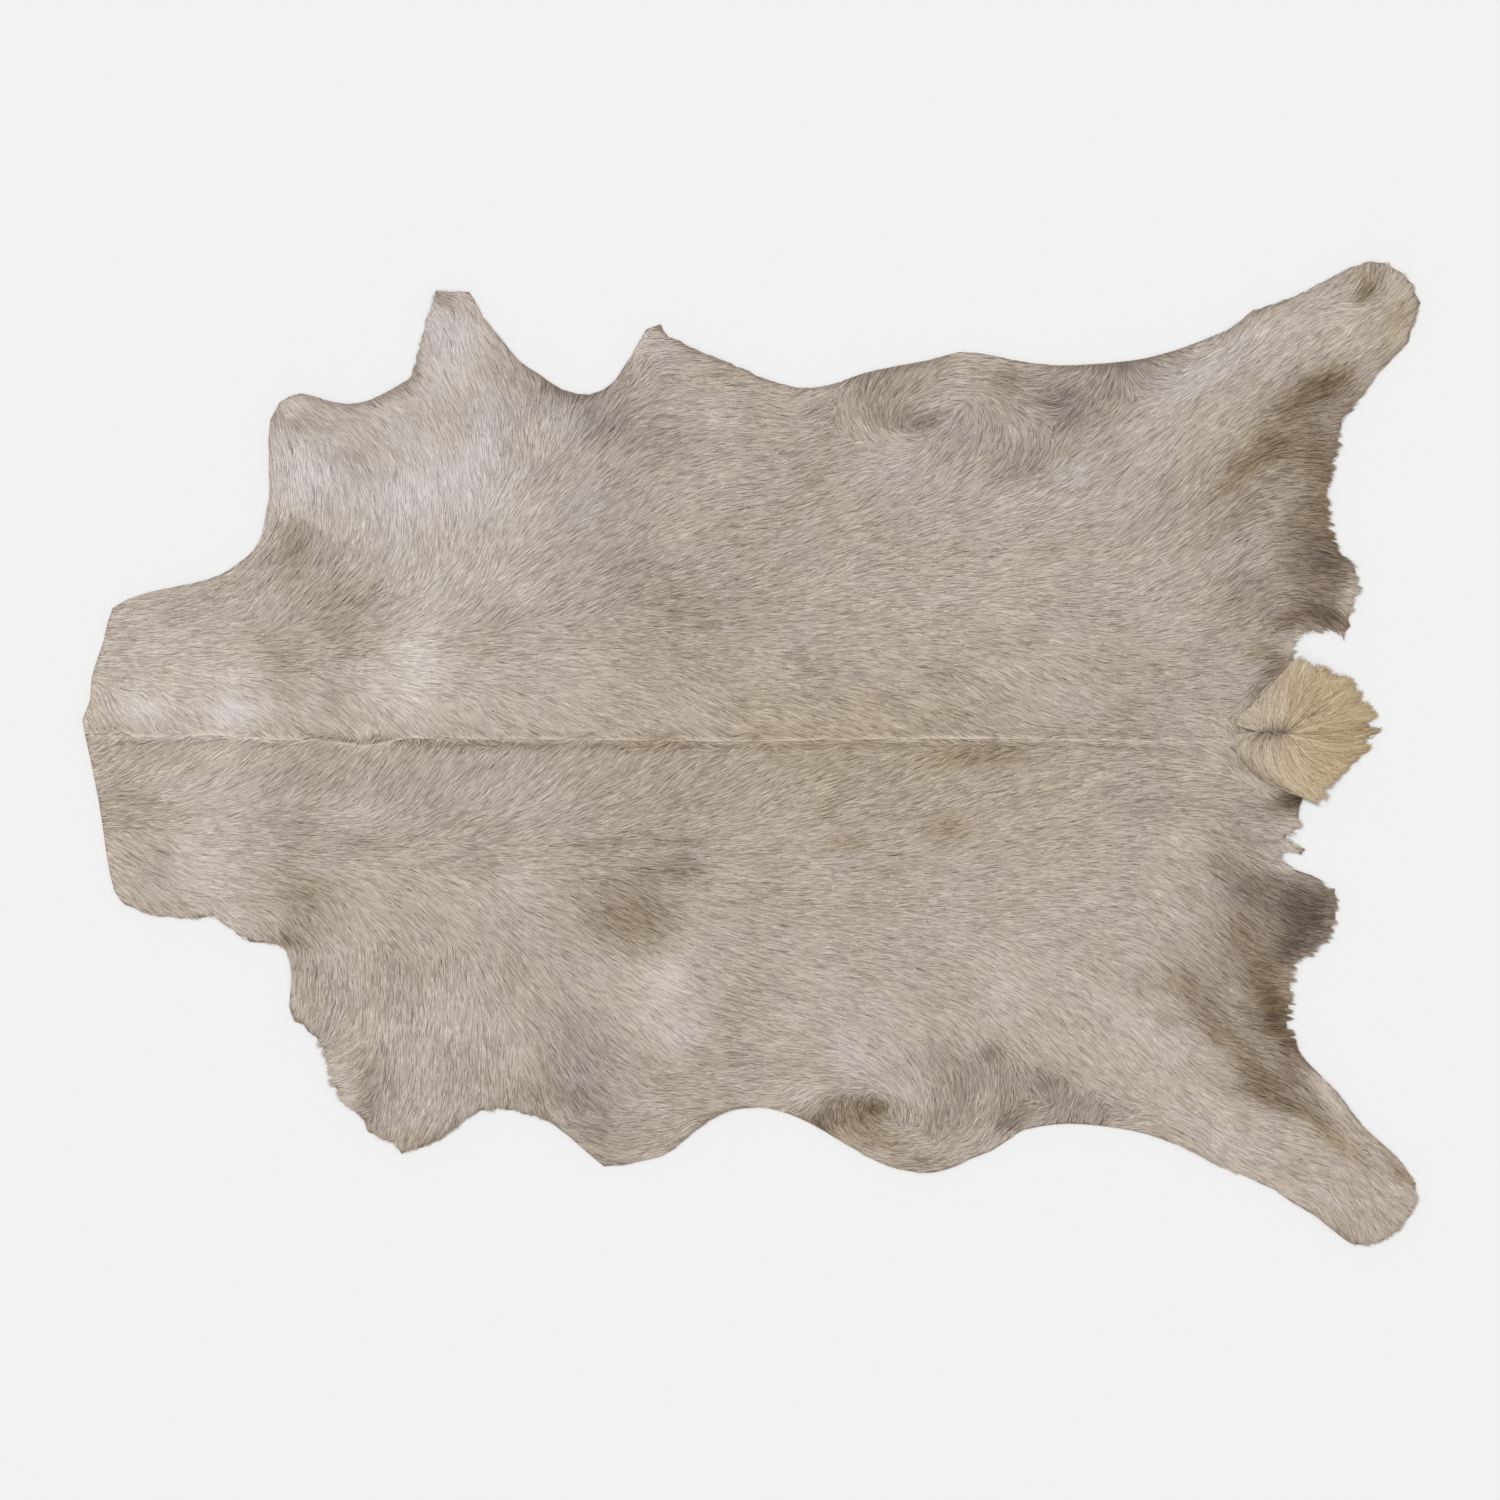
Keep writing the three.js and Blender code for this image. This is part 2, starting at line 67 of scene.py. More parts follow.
# Seeds of the random draws
WISP_SEED = 21
CLUMP_SEED = 3
COAT_SEED = 100  # of the first piece of the coat, and one more for each next piece
FAN_SEED = 77
SKIN_SEED = 5

# Skin and pile
SKIN = 1.2
SKIN_TUCK = 0.3  # the skin stays this far inside the line of the hair
RAGGED_TUCK = 1.1  # and further by this share of the raggedness above PLAIN_RAGGED
PLAIN_RAGGED = 0.5
SKIN_PITCH = 12  # distance between the points that fill the skin's face
SKIN_JITTER = 0.25  # how far they may lie off their square pattern, as a share of the pitch
SKIN_MARGIN = 0.7  # nearest that they come to the rim, as a share of the pitch
RIM_PROBE = 3  # how far from the rim its inner side is looked for
PILE = 1.9
PILE_AT_RIM = 0.4  # share of the pile that is left at the rim
PILE_RIM_WIDTH = 9
SPINE_RIDGE = 1.2  # height of the ridge along the spine, over the pile
SPINE_RIDGE_WIDTH = 5
SPINE_RIDGE_END = 840

# Hairs
HAIRS_PER_MM2 = 0.84
HAIR_LENGTH = 17
HAIR_WIDTH = 0.42
UNDER_WIDTH = 1.0  # how much wider the hairs are that lie lowest
EVENNESS = (0.75, 1.25)  # least and greatest length and width of a hair, as shares of its usual one
HAIR_ROLL = 22  # degrees that a hair may lie tipped on its side
HAIR_TURN = 4.5  # degrees that hairs vary from the lay
SHORTEST_HAIR = 3
SHORTEST_IN_SWIRL = 0.5  # share of its length that a hair keeps where the lay turns quickly
ROOT_INSET = 0.5  # nearest that a hair grows to the rim

# Clumps of hair
CLUMP_PITCH = 4.2
CLUMP_NUMBERS = 5  # random numbers of a clump: two for its middle, then its turn, length and tone
CLUMP_SCATTER = 0.3  # how far a clump's middle lies off its cell's middle, as a share of the pitch
CLUMP_TURN = 3.5  # degrees that clumps vary from the lay
CLUMP_LENGTH = 0.12  # how unevenly long clumps are, as a share of the hair's length
CLUMP_REACH = 1.1  # where a clump's tip lies, in half lengths of a hair from its middle
CLUMP_PULL = 0.2  # how far a hair's tip is drawn to the tip of its clump

# Heights of a hair, as shares of the pile
LOWEST_LAYER = 0.2
ROOT_LIFT = 0.05  # this one in millimetres over the skin
MIDDLE_RISE = (0.75, 0.95)
TIP_RISE = (0.85, 1.1)
DROOP = 0.55  # share of its height that a tip loses past the rim
DROOP_REACH = 4  # how far past the rim that is

# Wisps at the rim
LOCK_PITCH = (1.8, 4.2)  # shortest and longest stretch of the rim that one wisp takes up
LOCK_PULL = 0.85  # how far a wisp's hairs are drawn to its tip
LOCK_BEND = 0.3  # how much of that a hair's middle follows
LOCK_LONGEST = 7
LOCK_GATHER = 1.5  # hairs nearer to a wisp's tip than this many times LOCK_LONGEST are drawn to it
LEAST_FACING = 0.3  # keeps the wisps short where the hair runs along the rim
# Lowest and highest reach of a wisp past the rim, as shares of the raggedness
LOCK_REACH = {"cut": (-0.6, 0.6), "shaggy": (-1.6, 0.15)}
SHAGGY_FROM = (0.9, 1.8)  # raggedness between which a cut edge turns into a shaggy one
END_SPREAD = 0.35  # how unevenly the hairs of a wisp end, as a share of the raggedness
LEAST_KEPT = 0.02  # share of its length that every hair keeps
HOLD_ROUNDS = 2  # the rim bends, so hairs are held to it in more than one round
STRAY_SHARE = 0.08  # share of the rim's hairs that stray past their wisp
STRAY_REACH = 2.2

# Tones: 0.5 is the coat's own beige-grey, one unit is 200 steps of 0 to 255
TONE_STEPS = 200
BASE_TONE = -0.5
BASE_WARMTH = 0.45
HAIR_TONE = 21
LIGHTEST = 0.8  # no hair is lighter than this many steps of HAIR_TONE
HAIR_WARMTH = 0.06
CLUMP_TONE = 3
# painted shade: roots darker, where the hair lying over them shades them
ROOT_PAINTED_SHADE = -8
TIP_TONE = 6
RIM_PAINTED_SHADE = -8  # painted shade on hair at the rim, standing in for the shadow and the dark cut skin there
CUT_EDGE_PAINTED_SHADE = -25  # more painted shade, added where the rim is cut straight
RIM_SHADE_WIDTH = 1.1
STRAND_EDGE = 0.006  # how far a strand's two edges differ from its middle line in tone and warmth

# Smooth unevenness: seed, pitch of its lumps, strength
TONE_LUMPS = [(31, 12, 2.2), (32, 34, 2.5)]
WARMTH_LUMPS = (33, 22, 0.07)
PILE_LUMPS = (41, 38, 0.12)
SKIN_LUMPS = (9, 30, 0.1)

# Pieces of the coat: name and the stretch along the hide that it covers
COATS = [
    ("hair_neck", 0, 250),
    ("hair_shoulders", 250, 410),
    ("hair_back", 410, 570),
    ("hair_loin", 570, 730),
    ("hair_thighs", 730, 868),
    ("hair_rump", 868, 1010),
]

# How ragged the hair ends along the rim: along, across, and how unevenly its wisps reach. Below
# SHAGGY_FROM the wisps end on both sides of the rim, above it nearly all end inside.
RAGGED = [
    (20, 100, 0.4), (60, 115, 0.4), (110, 130, 0.4), (140, 170, 0.4), (141, 215, 0.4), (150, 255, 0.5),
    (200, 253, 0.5), (228, 264, 0.5), (246, 272, 0.9), (257, 316, 1.8), (262, 336, 2.5), (280, 339, 1.8),
    (298, 322, 0.8), (330, 284, 0.4), (382, 260, 0.4), (412, 290, 0.4), (424, 312, 0.3), (438, 311, 0.4),
    (460, 293, 0.8), (490, 281, 0.6), (540, 265, 0.4), (600, 279, 0.5), (660, 292, 0.4), (730, 282, 0.4),
    (800, 287, 0.5), (860, 308, 0.7), (880, 324, 0.8), (900, 329, 0.9), (940, 349, 0.6), (965, 361, 2.2),
    (986, 359, 2.6), (1000, 340, 1.6), (1002, 320, 1.5), (990, 297, 0.8), (968, 271, 1.5),
    (950, 245, 2.2), (944, 226, 3.6), (938, 190, 4.5), (937, 168, 5.5), (950, 136, 3.5), (944, 150, 4.5),
    (959, 122, 5), (957, 112, 4.2), (954, 97, 3), (947, 77, 2.4), (925, 81, 3), (908, 72, 4.5),
    (917, -46, 0.3), (914, -53, 0.5), (911, -60, 4), (914, -68, 7), (918, -82, 6), (900, -88, 2.5),
    (920, -102, 3), (940, -113, 2), (943, -130, 3.2), (936, -150, 6), (915, -165, 5), (909, -185, 5.5),
    (908, -215, 5), (912, -232, 0.2), (940, -261, 0.8), (975, -302, 0.6), (995, -322, 1.4),
    (1002, -345, 2), (992, -364, 2), (965, -379, 2), (945, -373, 0.6), (905, -344, 0.5), (870, -328, 1.8),
    (850, -319, 1), (824, -304, 0.8), (780, -291, 0.5), (720, -289, 0.5), (660, -315, 0.4),
    (620, -322, 0.5), (560, -295, 0.4), (500, -274, 0.4), (456, -295, 0.8), (428, -313, 1.4),
    (391, -319, 0.5), (400, -318, 0.6), (360, -293, 0.5), (330, -280, 1.6), (300, -279, 2),
    (270, -298, 1), (240, -309, 2.2), (225, -299, 2), (212, -290, 1.5), (200, -275, 2.2), (187, -256, 5),
    (178, -232, 4), (165, -214, 1.6), (156, -190, 0.5), (150, -160, 2), (130, -152, 1.8), (108, -136, 6),
    (90, -133, 2), (60, -132, 1.2), (26, -116, 0.5), (12, -50, 0.5), (2, 5, 0.6), (8, 50, 0.5),
    (17, 78, 0.5),
]
RAGGED_REACH = 12
TOOTHED = (2.4, 3.4)  # the rim's zigzag is smoothed where the raggedness is above these

# The pale line of hair along the spine: along, across
SPINE = [
    (0, 4), (60, 3), (105, 5), (120, 2), (180, 0), (210, -4), (225, -3), (245, 3), (270, 2), (400, 1),
    (500, 0), (600, 2), (700, 2), (740, 1), (850, -2), (1010, 0),
]
# The pale line's tone, then painted shade on both its sides
SPINE_BANDS = [
    {"tone": 22, "offset": 0, "width": 1.8},
    {"tone": -12, "offset": -4.5, "width": 2},
    {"tone": -10, "offset": 4.5, "width": 2},
]
SPINE_UPPER = 0.5  # share of the hairs, the lower ones, that don't turn along the line
SPINE_BEND = (0.25, 0.75)  # the shares of a hair between which it may bend
SPINE_CREST = 0.18  # how much of its way past the line a hair still goes
SPINE_OVERLAP = 2.5  # how far past the line the lower hairs may end
SPINE_END = 800
SPINE_FADE = 90

# The lay of the coat: along, across, reach of the entry, bearing of the hair from root to tip in degrees
# anticlockwise from the tail's direction
LAY_NECK = [
    (40, 82, 25, 5), (85, 82, 22, 8), (100, 108, 14, 20), (150, 115, 20, 48), (190, 115, 16, 46),
    (190, 92, 12, 28), (240, 92, 14, 28), (170, 70, 15, 5), (215, 70, 15, 5), (255, 70, 15, 5),
    (40, 50, 14, -12), (85, 52, 14, -8), (130, 62, 14, 2), (205, 50, 12, -12), (240, 50, 12, -12),
    (270, 50, 12, -12), (205, 22, 10, -48), (250, 20, 10, -42), (105, 35, 12, -28), (140, 33, 12, -28),
    (175, 33, 12, -30), (15, 28, 10, -60), (50, 22, 12, -48), (100, 18, 10, -40), (150, 16, 10, -42),
    (25, -18, 12, 30), (60, -18, 12, 30), (95, -18, 12, 32), (125, -25, 13, 38), (160, -25, 13, 38),
    (195, -25, 13, 44), (225, -28, 13, 52), (255, -28, 13, 52), (30, -50, 12, 7), (75, -50, 12, 7),
    (120, -52, 12, 10), (110, -75, 14, -3), (150, -75, 14, -3), (190, -72, 14, 2), (35, -90, 16, -30),
    (65, -92, 14, -30), (50, -120, 10, -42), (100, -105, 14, -10), (100, -128, 8, -40),
    (135, -105, 14, -14), (175, -108, 14, -22), (230, -110, 14, -30), (155, -140, 10, -50),
    (190, -138, 14, -55), (250, -138, 16, -48), (310, -135, 18, -42), (370, -135, 18, -29),
]
LAY_UPPER_SHOULDER = [
    (272, 334, 6, 160), (266, 318, 8, 118), (280, 300, 10, 103), (305, 288, 10, 122), (325, 272, 12, 110),
    (165, 250, 12, 142), (200, 245, 14, 145), (235, 255, 12, 145), (250, 268, 9, 125),
    (150, 235, 12, 105), (145, 190, 15, 92), (170, 200, 14, 100), (200, 190, 14, 108),
    (215, 215, 14, 123), (260, 230, 18, 115), (280, 200, 16, 105), (300, 220, 14, 98), (325, 225, 11, 92),
    (350, 250, 12, 82), (360, 240, 10, 75), (380, 220, 12, 50), (390, 250, 12, 55), (325, 185, 12, 60),
    (345, 180, 12, 50), (380, 190, 14, 40), (380, 150, 16, 32), (300, 150, 14, 70), (260, 150, 14, 85),
    (240, 130, 12, 65), (280, 120, 14, 55), (340, 120, 16, 35), (380, 110, 16, 25), (300, 98, 12, 40),
    (260, 98, 12, 40), (180, 140, 12, 60), (200, 150, 12, 75), (180, 170, 14, 87), (240, 180, 16, 92),
    (150, 150, 14, 62),
]
LAY_UPPER_BACK = [
    (300, 20, 12, -38), (345, 20, 12, -30), (300, 46, 12, -12), (345, 46, 12, -10), (300, 72, 12, 4),
    (350, 72, 14, 0), (400, 70, 14, -5), (420, 50, 14, -10), (510, 50, 20, -6), (410, 30, 12, -15),
    (470, 24, 16, -28), (410, 10, 10, -22), (540, 13, 16, -20), (590, 13, 16, -20), (640, 12, 14, -28),
    (600, 40, 18, -12), (655, 32, 14, -25), (440, 90, 14, 0), (500, 80, 18, 0), (560, 70, 18, 2),
    (640, 75, 16, -4), (500, 100, 18, 3), (640, 105, 20, 4), (600, 120, 18, 7), (640, 125, 18, 5),
    (420, 140, 15, 28), (450, 150, 15, 20), (440, 120, 15, 15), (500, 130, 20, 16), (500, 170, 18, 10),
    (500, 200, 18, 5), (540, 200, 16, 15), (560, 175, 18, 20), (600, 180, 15, 25), (600, 210, 12, 10),
    (620, 198, 12, 22), (560, 150, 20, 20), (600, 150, 18, 15), (640, 160, 18, 15), (640, 200, 12, 42),
    (390, 240, 10, 55), (400, 220, 12, 45), (410, 280, 10, 60), (420, 260, 12, 32), (430, 300, 10, 5),
    (460, 280, 14, -3), (480, 258, 16, 0), (500, 270, 12, -3), (440, 240, 14, 10), (440, 220, 14, 20),
    (400, 195, 14, 35), (460, 200, 16, 15), (420, 175, 16, 33), (520, 245, 12, -10), (545, 256, 9, 22),
]
LAY_UPPER_FLANK = [
    (573, 270, 6, 40), (590, 272, 7, 58), (600, 277, 7, 55), (620, 280, 9, 50), (642, 284, 9, 35),
    (640, 232, 6, 35), (646, 244, 6, 12), (640, 220, 9, 50), (660, 284, 10, 2), (668, 270, 10, -5),
    (652, 262, 9, 5), (660, 240, 9, 58), (660, 222, 10, 48), (690, 270, 9, -8), (700, 262, 8, -15),
    (715, 268, 10, 5), (740, 270, 10, 32), (748, 252, 8, 48), (758, 262, 8, 60), (765, 240, 8, 30),
    (766, 276, 7, 62), (774, 262, 6, 84), (782, 280, 4, 92), (784, 262, 6, 106), (776, 248, 8, 50),
    (792, 272, 6, 124), (798, 264, 7, 152), (800, 282, 6, 140), (806, 256, 8, 20), (815, 276, 8, 170),
    (826, 286, 8, 160), (680, 195, 14, 30), (720, 190, 14, 28), (760, 195, 14, 32), (700, 165, 18, 15),
    (760, 165, 16, 18), (680, 135, 20, 5), (740, 130, 18, 6), (760, 215, 12, 38),
]
LAY_UPPER_LEG = [
    (800, 170, 16, 42), (800, 130, 16, 28), (790, 230, 15, 38), (800, 205, 15, 42), (830, 250, 14, 40),
    (830, 200, 14, 50), (830, 150, 16, 38), (860, 230, 15, 38), (860, 185, 14, 40), (860, 130, 16, 37),
    (820, 110, 16, 22), (835, 275, 12, 32), (845, 292, 9, 28), (868, 308, 9, 60), (880, 312, 10, 50),
    (870, 280, 14, 36), (900, 320, 12, 34), (920, 300, 14, 36), (940, 340, 10, 32), (900, 270, 14, 36),
    (930, 322, 9, 20), (950, 324, 6, -6), (966, 326, 6, 20), (960, 336, 5, 58), (955, 350, 7, 50),
    (968, 352, 7, 84), (980, 347, 7, 72), (992, 342, 8, 52), (975, 330, 8, 40), (960, 305, 12, 40),
    (990, 318, 10, 38), (980, 292, 12, 36), (940, 285, 12, 35), (950, 262, 9, 28), (920, 262, 9, 20),
    (922, 250, 8, 12), (900, 252, 10, 22), (900, 232, 12, 18), (925, 228, 10, 3), (880, 210, 12, 25),
    (910, 205, 12, -2), (938, 240, 8, 2), (936, 215, 8, -4), (932, 190, 8, -8), (930, 170, 8, -8),
    (900, 180, 12, 10), (880, 160, 12, 22), (905, 160, 12, 3), (910, 140, 10, -3), (938, 145, 7, -18),
    (950, 130, 6, -10), (935, 125, 10, -5), (880, 130, 12, 26), (880, 105, 12, 30), (905, 118, 10, 2),
    (945, 108, 7, -14), (920, 106, 9, -12), (905, 97, 7, 4), (925, 92, 7, -28), (940, 90, 6, -48),
    (946, 82, 4, -52),
]
LAY_HIND_BACK = [
    (690, 78, 16, -10), (740, 78, 16, -12), (780, 60, 16, -8), (700, 40, 16, -28), (750, 40, 16, -26),
    (665, 12, 12, -28), (700, 14, 12, -20), (750, 13, 14, -12), (800, 40, 18, -5), (840, 40, 14, -2),
    (800, 12, 16, -8), (820, 90, 16, 8), (855, 90, 12, 18), (780, 100, 18, 4), (870, 70, 10, 10),
    (895, 72, 8, 8), (900, 60, 6, 12), (860, 50, 9, -4), (862, 34, 7, -12), (885, 50, 6, 30),
    (880, 38, 4, 55), (872, 26, 4, 50), (845, 12, 9, -16), (864, 12, 4, -62), (866, 22, 4, 40),
    (850, -8, 8, -22), (862, -12, 4, -48), (868, -20, 4, -55), (876, -28, 5, -48), (875, -2, 5, -70),
    (655, -14, 9, 26), (690, -14, 9, 18), (730, -10, 12, 12), (780, -10, 14, 5), (820, -8, 12, -4),
    (660, -42, 14, 20), (700, -42, 16, 16), (760, -42, 16, 10), (820, -42, 14, -2), (870, -48, 10, -5),
    (890, -34, 7, -40), (898, -46, 6, -12), (912, -46, 5, 4), (660, -75, 16, 12), (720, -75, 18, 8),
    (780, -70, 16, 2), (820, -88, 12, -24), (860, -70, 9, -22), (860, -96, 12, -36), (890, -76, 7, -20),
    (905, -72, 6, -14), (912, -82, 5, -20), (888, -60, 8, -8), (805, -118, 14, -28), (660, -115, 18, 0),
    (720, -115, 18, 0), (770, -120, 16, -6), (760, -145, 16, -14),
]
LAY_LOWER_BACK = [
    (290, -28, 13, 48), (330, -28, 13, 45), (360, -24, 12, 42), (400, -14, 8, 42), (440, -22, 12, 34),
    (400, -40, 11, 24), (500, -25, 16, 27), (560, -25, 18, 21), (620, -25, 18, 22), (470, -50, 14, 20),
    (240, -62, 12, 25), (290, -60, 12, 25), (340, -58, 12, 22), (230, -88, 12, 0), (290, -90, 13, -5),
    (345, -88, 13, 4), (415, -64, 9, 14), (445, -76, 9, 2), (490, -76, 12, 5), (560, -64, 16, 12),
    (620, -64, 16, 12), (390, -92, 12, -3), (430, -92, 12, -5), (410, -125, 15, -27), (480, -108, 14, -8),
    (540, -105, 18, 0), (600, -105, 18, 0), (500, -145, 18, -14), (580, -150, 20, -9),
    (640, -155, 18, -12), (410, -180, 16, -33), (470, -180, 16, -25), (550, -195, 18, -16),
    (630, -195, 16, -22), (430, -225, 14, -40), (510, -215, 16, -14), (290, -112, 13, -28),
    (345, -112, 13, -20),
]
LAY_LOWER_SHOULDER = [
    (168, -180, 14, -90), (215, -180, 16, -87), (270, -180, 16, -84), (315, -172, 12, -62),
    (340, -182, 12, -50), (380, -180, 12, -38), (188, -212, 9, -112), (200, -230, 8, -132),
    (190, -246, 7, -165), (202, -256, 6, -155), (212, -262, 5, -138), (216, -250, 5, -128),
    (185, -232, 6, -152), (168, -204, 8, -100), (196, -268, 6, 178), (210, -276, 5, -160),
    (219, -276, 3.5, -110), (222, -290, 5, -105), (228, -278, 6, -104), (240, -290, 9, -108),
    (240, -230, 14, -92), (236, -258, 9, -98), (260, -296, 9, -118), (280, -245, 14, -90),
    (285, -275, 10, -100), (315, -250, 12, -86), (312, -272, 8, -88), (345, -240, 10, -64),
    (338, -268, 8, -72), (375, -240, 12, -54), (362, -272, 9, -58), (378, -292, 8, -20),
    (385, -210, 12, -50), (395, -305, 8, -14), (410, -250, 12, -32), (350, -208, 11, -52),
    (420, -212, 10, -42),
]
LAY_LOWER_FLANK = [
    (450, -258, 14, -5), (430, -282, 12, 0), (420, -302, 8, 16), (450, -295, 8, 30), (500, -258, 14, -2),
    (490, -235, 14, -5), (545, -240, 12, -4), (575, -215, 12, -22), (600, -230, 12, -35),
    (560, -254, 8, 0), (580, -258, 6, -8), (598, -256, 6, -28), (612, -262, 6, -50), (535, -268, 7, 28),
    (546, -274, 6, 42), (556, -272, 5, 55), (558, -286, 6, -80), (568, -278, 5, -88), (578, -286, 6, -62),
    (585, -276, 4, 85), (578, -268, 4, 62), (590, -266, 4, 30), (602, -266, 4, -40), (606, -276, 4, -85),
    (597, -274, 2.5, 0), (592, -284, 5, -38), (604, -290, 6, -18), (618, -282, 6, -92),
    (626, -270, 7, -72), (560, -296, 6, -35), (585, -302, 7, -32), (600, -312, 7, -15), (620, -300, 8, 8),
    (630, -315, 8, 4), (640, -285, 8, 85), (632, -245, 10, -58), (650, -262, 8, -78),
    (655, -225, 10, -48), (668, -245, 6, -70), (680, -238, 6, -62), (690, -250, 7, -85),
    (662, -280, 7, -95), (660, -300, 8, 25), (676, -290, 7, 50), (684, -276, 7, 72), (700, -284, 7, 45),
    (692, -262, 6, -100), (706, -262, 7, -70), (718, -262, 7, -45), (712, -278, 7, 20),
    (735, -262, 7, 70), (745, -276, 7, 74), (760, -276, 8, 58), (745, -248, 10, -40), (775, -268, 9, -30),
    (785, -284, 8, 10), (690, -215, 14, -40), (740, -225, 14, -42), (690, -180, 16, -28),
]
LAY_LOWER_LEG = [
    (770, -175, 14, -30), (780, -215, 15, -42), (820, -130, 14, -35), (860, -130, 12, -43),
    (890, -130, 10, -36), (915, -120, 9, -22), (930, -132, 8, -6), (925, -148, 7, -10),
    (905, -155, 8, -18), (820, -180, 14, -38), (860, -180, 12, -40), (885, -170, 10, -20),
    (900, -185, 8, -5), (880, -200, 9, -8), (840, -212, 12, -30), (875, -228, 10, -18),
    (898, -215, 7, -4), (895, -248, 9, -27), (860, -255, 12, -24), (820, -258, 14, -40),
    (880, -278, 10, -17), (905, -292, 10, -16), (920, -258, 6, -46), (940, -275, 6, -52),
    (960, -296, 7, -48), (928, -282, 8, -38), (960, -308, 8, -34), (985, -322, 8, -42),
    (920, -322, 12, -20), (860, -300, 12, -36), (820, -288, 10, -28), (800, -290, 8, -12),
    (860, -318, 8, -34), (890, -322, 10, -26), (945, -345, 10, -50), (965, -355, 9, -60),
    (955, -372, 6, -75), (990, -345, 7, -26), (980, -365, 7, -48), (975, -335, 8, -42),
    (905, -335, 8, -30),
]
LAY_SWIRLS = [
    (670, 250, 6, -72), (680, 256, 5, -48), (690, 252, 6, -42), (700, 247, 6, -45), (678, 240, 6, -85),
    (688, 238, 5, -78), (697, 240, 4, -60), (704, 236, 5, -62), (709, 228, 5, -85), (697, 228, 5, -85),
    (688, 226, 6, -105), (676, 228, 7, -100), (665, 225, 8, 60), (702, 218, 5, -108), (694, 210, 6, 60),
    (685, 205, 7, 52), (706, 210, 6, 60), (716, 226, 6, 85), (722, 232, 5, -50), (727, 224, 5, -80),
    (722, 214, 6, 62), (730, 212, 7, 58), (735, 226, 7, 55), (712, 246, 6, -28), (722, 246, 6, -8),
    (735, 250, 6, 15), (742, 240, 6, 50), (712, 256, 8, -15), (580, 262, 6, 80), (578, 250, 6, 98),
    (580, 240, 6, 115), (590, 234, 5, 122), (590, 246, 5, 98), (598, 248, 5, 88), (604, 240, 4, 80),
    (613, 238, 4, 88), (621, 237, 3, 98), (598, 228, 5, 142), (608, 227, 5, 155), (620, 228, 5, 170),
    (629, 231, 4, 5), (636, 234, 4, 38), (642, 238, 5, 48), (636, 242, 3, -35), (628, 245, 3, 0),
    (620, 243, 3, 42), (612, 250, 5, 58), (625, 252, 6, 35), (640, 250, 6, 22), (600, 258, 6, 64),
    (592, 266, 6, 66), (418, 300, 5, 62), (425, 308, 4, 40), (434, 309, 4, 10),
]
LAY = (
    LAY_NECK + LAY_UPPER_SHOULDER + LAY_UPPER_BACK + LAY_UPPER_FLANK + LAY_UPPER_LEG + LAY_HIND_BACK
    + LAY_LOWER_BACK + LAY_LOWER_SHOULDER + LAY_LOWER_FLANK + LAY_LOWER_LEG + LAY_SWIRLS
)
BLEND_FALL = 4  # how quickly an entry loses its say beyond its reach

# Patches of the coat: along, across, half length, half width, tone, and where a patch has them, warmth
# and turn in degrees
# Their tones hold the coat's own markings together with painted sheen where the hair turns and painted
# shade in the whorls
PATCHES_NECK = [
    (42, 32, 26, 12, 15, -0.25), (112, 22, 14, 12, 13, -0.25), (70, 90, 28, 20, -13, 0.05, 15),
    (30, -45, 22, 20, -16, 0.2), (70, -12, 40, 12, -7, 0.15), (92, -90, 24, 30, 9, -0.15),
    (50, -85, 14, 25, -5, -0.1), (158, 145, 14, 26, -24, 0.2), (150, 62, 14, 28, -13, 0.1),
    (190, 98, 24, 30, -9, 0.05), (186, 36, 10, 12, -12), (162, 236, 18, 13, -13),
    (162, 190, 20, 22, 12, -0.1), (198, 200, 26, 14, 5, -0.15), (208, -80, 15, 9, -11, 0.1),
    (168, -112, 24, 16, -24, 0.2), (154, -148, 12, 8, -34, 0.2), (190, -62, 16, 10, 8),
    (205, -232, 18, 24, 7), (168, -188, 12, 24, -6, 0.1), (192, -160, 18, 12, 5),
    (165, 212, 28, 44, 20, -0.3), (72, 86, 48, 24, 10, -0.1, 10), (48, 20, 22, 10, 7, -0.2),
    (115, 55, 22, 12, 9), (42, -24, 30, 13, 11), (102, -9, 36, 9, 11), (155, -60, 26, 15, -7),
    (168, -132, 24, 24, -12), (206, -152, 13, 20, 6), (204, 204, 26, 18, -20, 0.1),
    (178, 236, 14, 12, -12, 0.1), (150, 172, 15, 9, 16), (158, 254, 15, 8, 18), (138, 215, 6, 40, 8),
    (50, 76, 30, 24, 9, -0.15), (125, 42, 20, 12, 7, -0.1), (170, -74, 38, 20, -13),
    (58, -84, 24, 18, -8, 0.05), (207, -56, 12, 12, 12), (120, 2, 12, 6, 6), (74, 92, 18, 10, -7),
    (160, 236, 10, 10, -6, 0.1), (70, 0, 95, 120, 9), (156, 250, 12, 10, 12), (60, 0, 60, 100, 8),
    (205, 145, 12, 35, 8), (148, 245, 8, 16, 8), (35, -30, 60, 110, -7), (190, 188, 12, 18, 9),
    (160, 212, 22, 24, 6), (154, -160, 10, 10, 9), (190, -250, 8, 20, 12), (108, -134, 10, 8, 12),
    (203, -266, 8, 12, 12), (155, 164, 10, 8, 9), (120, 24, 34, 9, 8, -0.15), (90, 22, 14, 8, 6, -0.1),
    (205, 50, 18, 14, 6), (172, -198, 8, 14, 9), (192, -246, 8, 14, 8), (200, -168, 12, 10, 7),
    (152, 250, 12, 10, 10), (138, 190, 5, 30, 8), (120, 132, 20, 5, 7, 0, 15), (75, 25, 16, 10, -6),
]
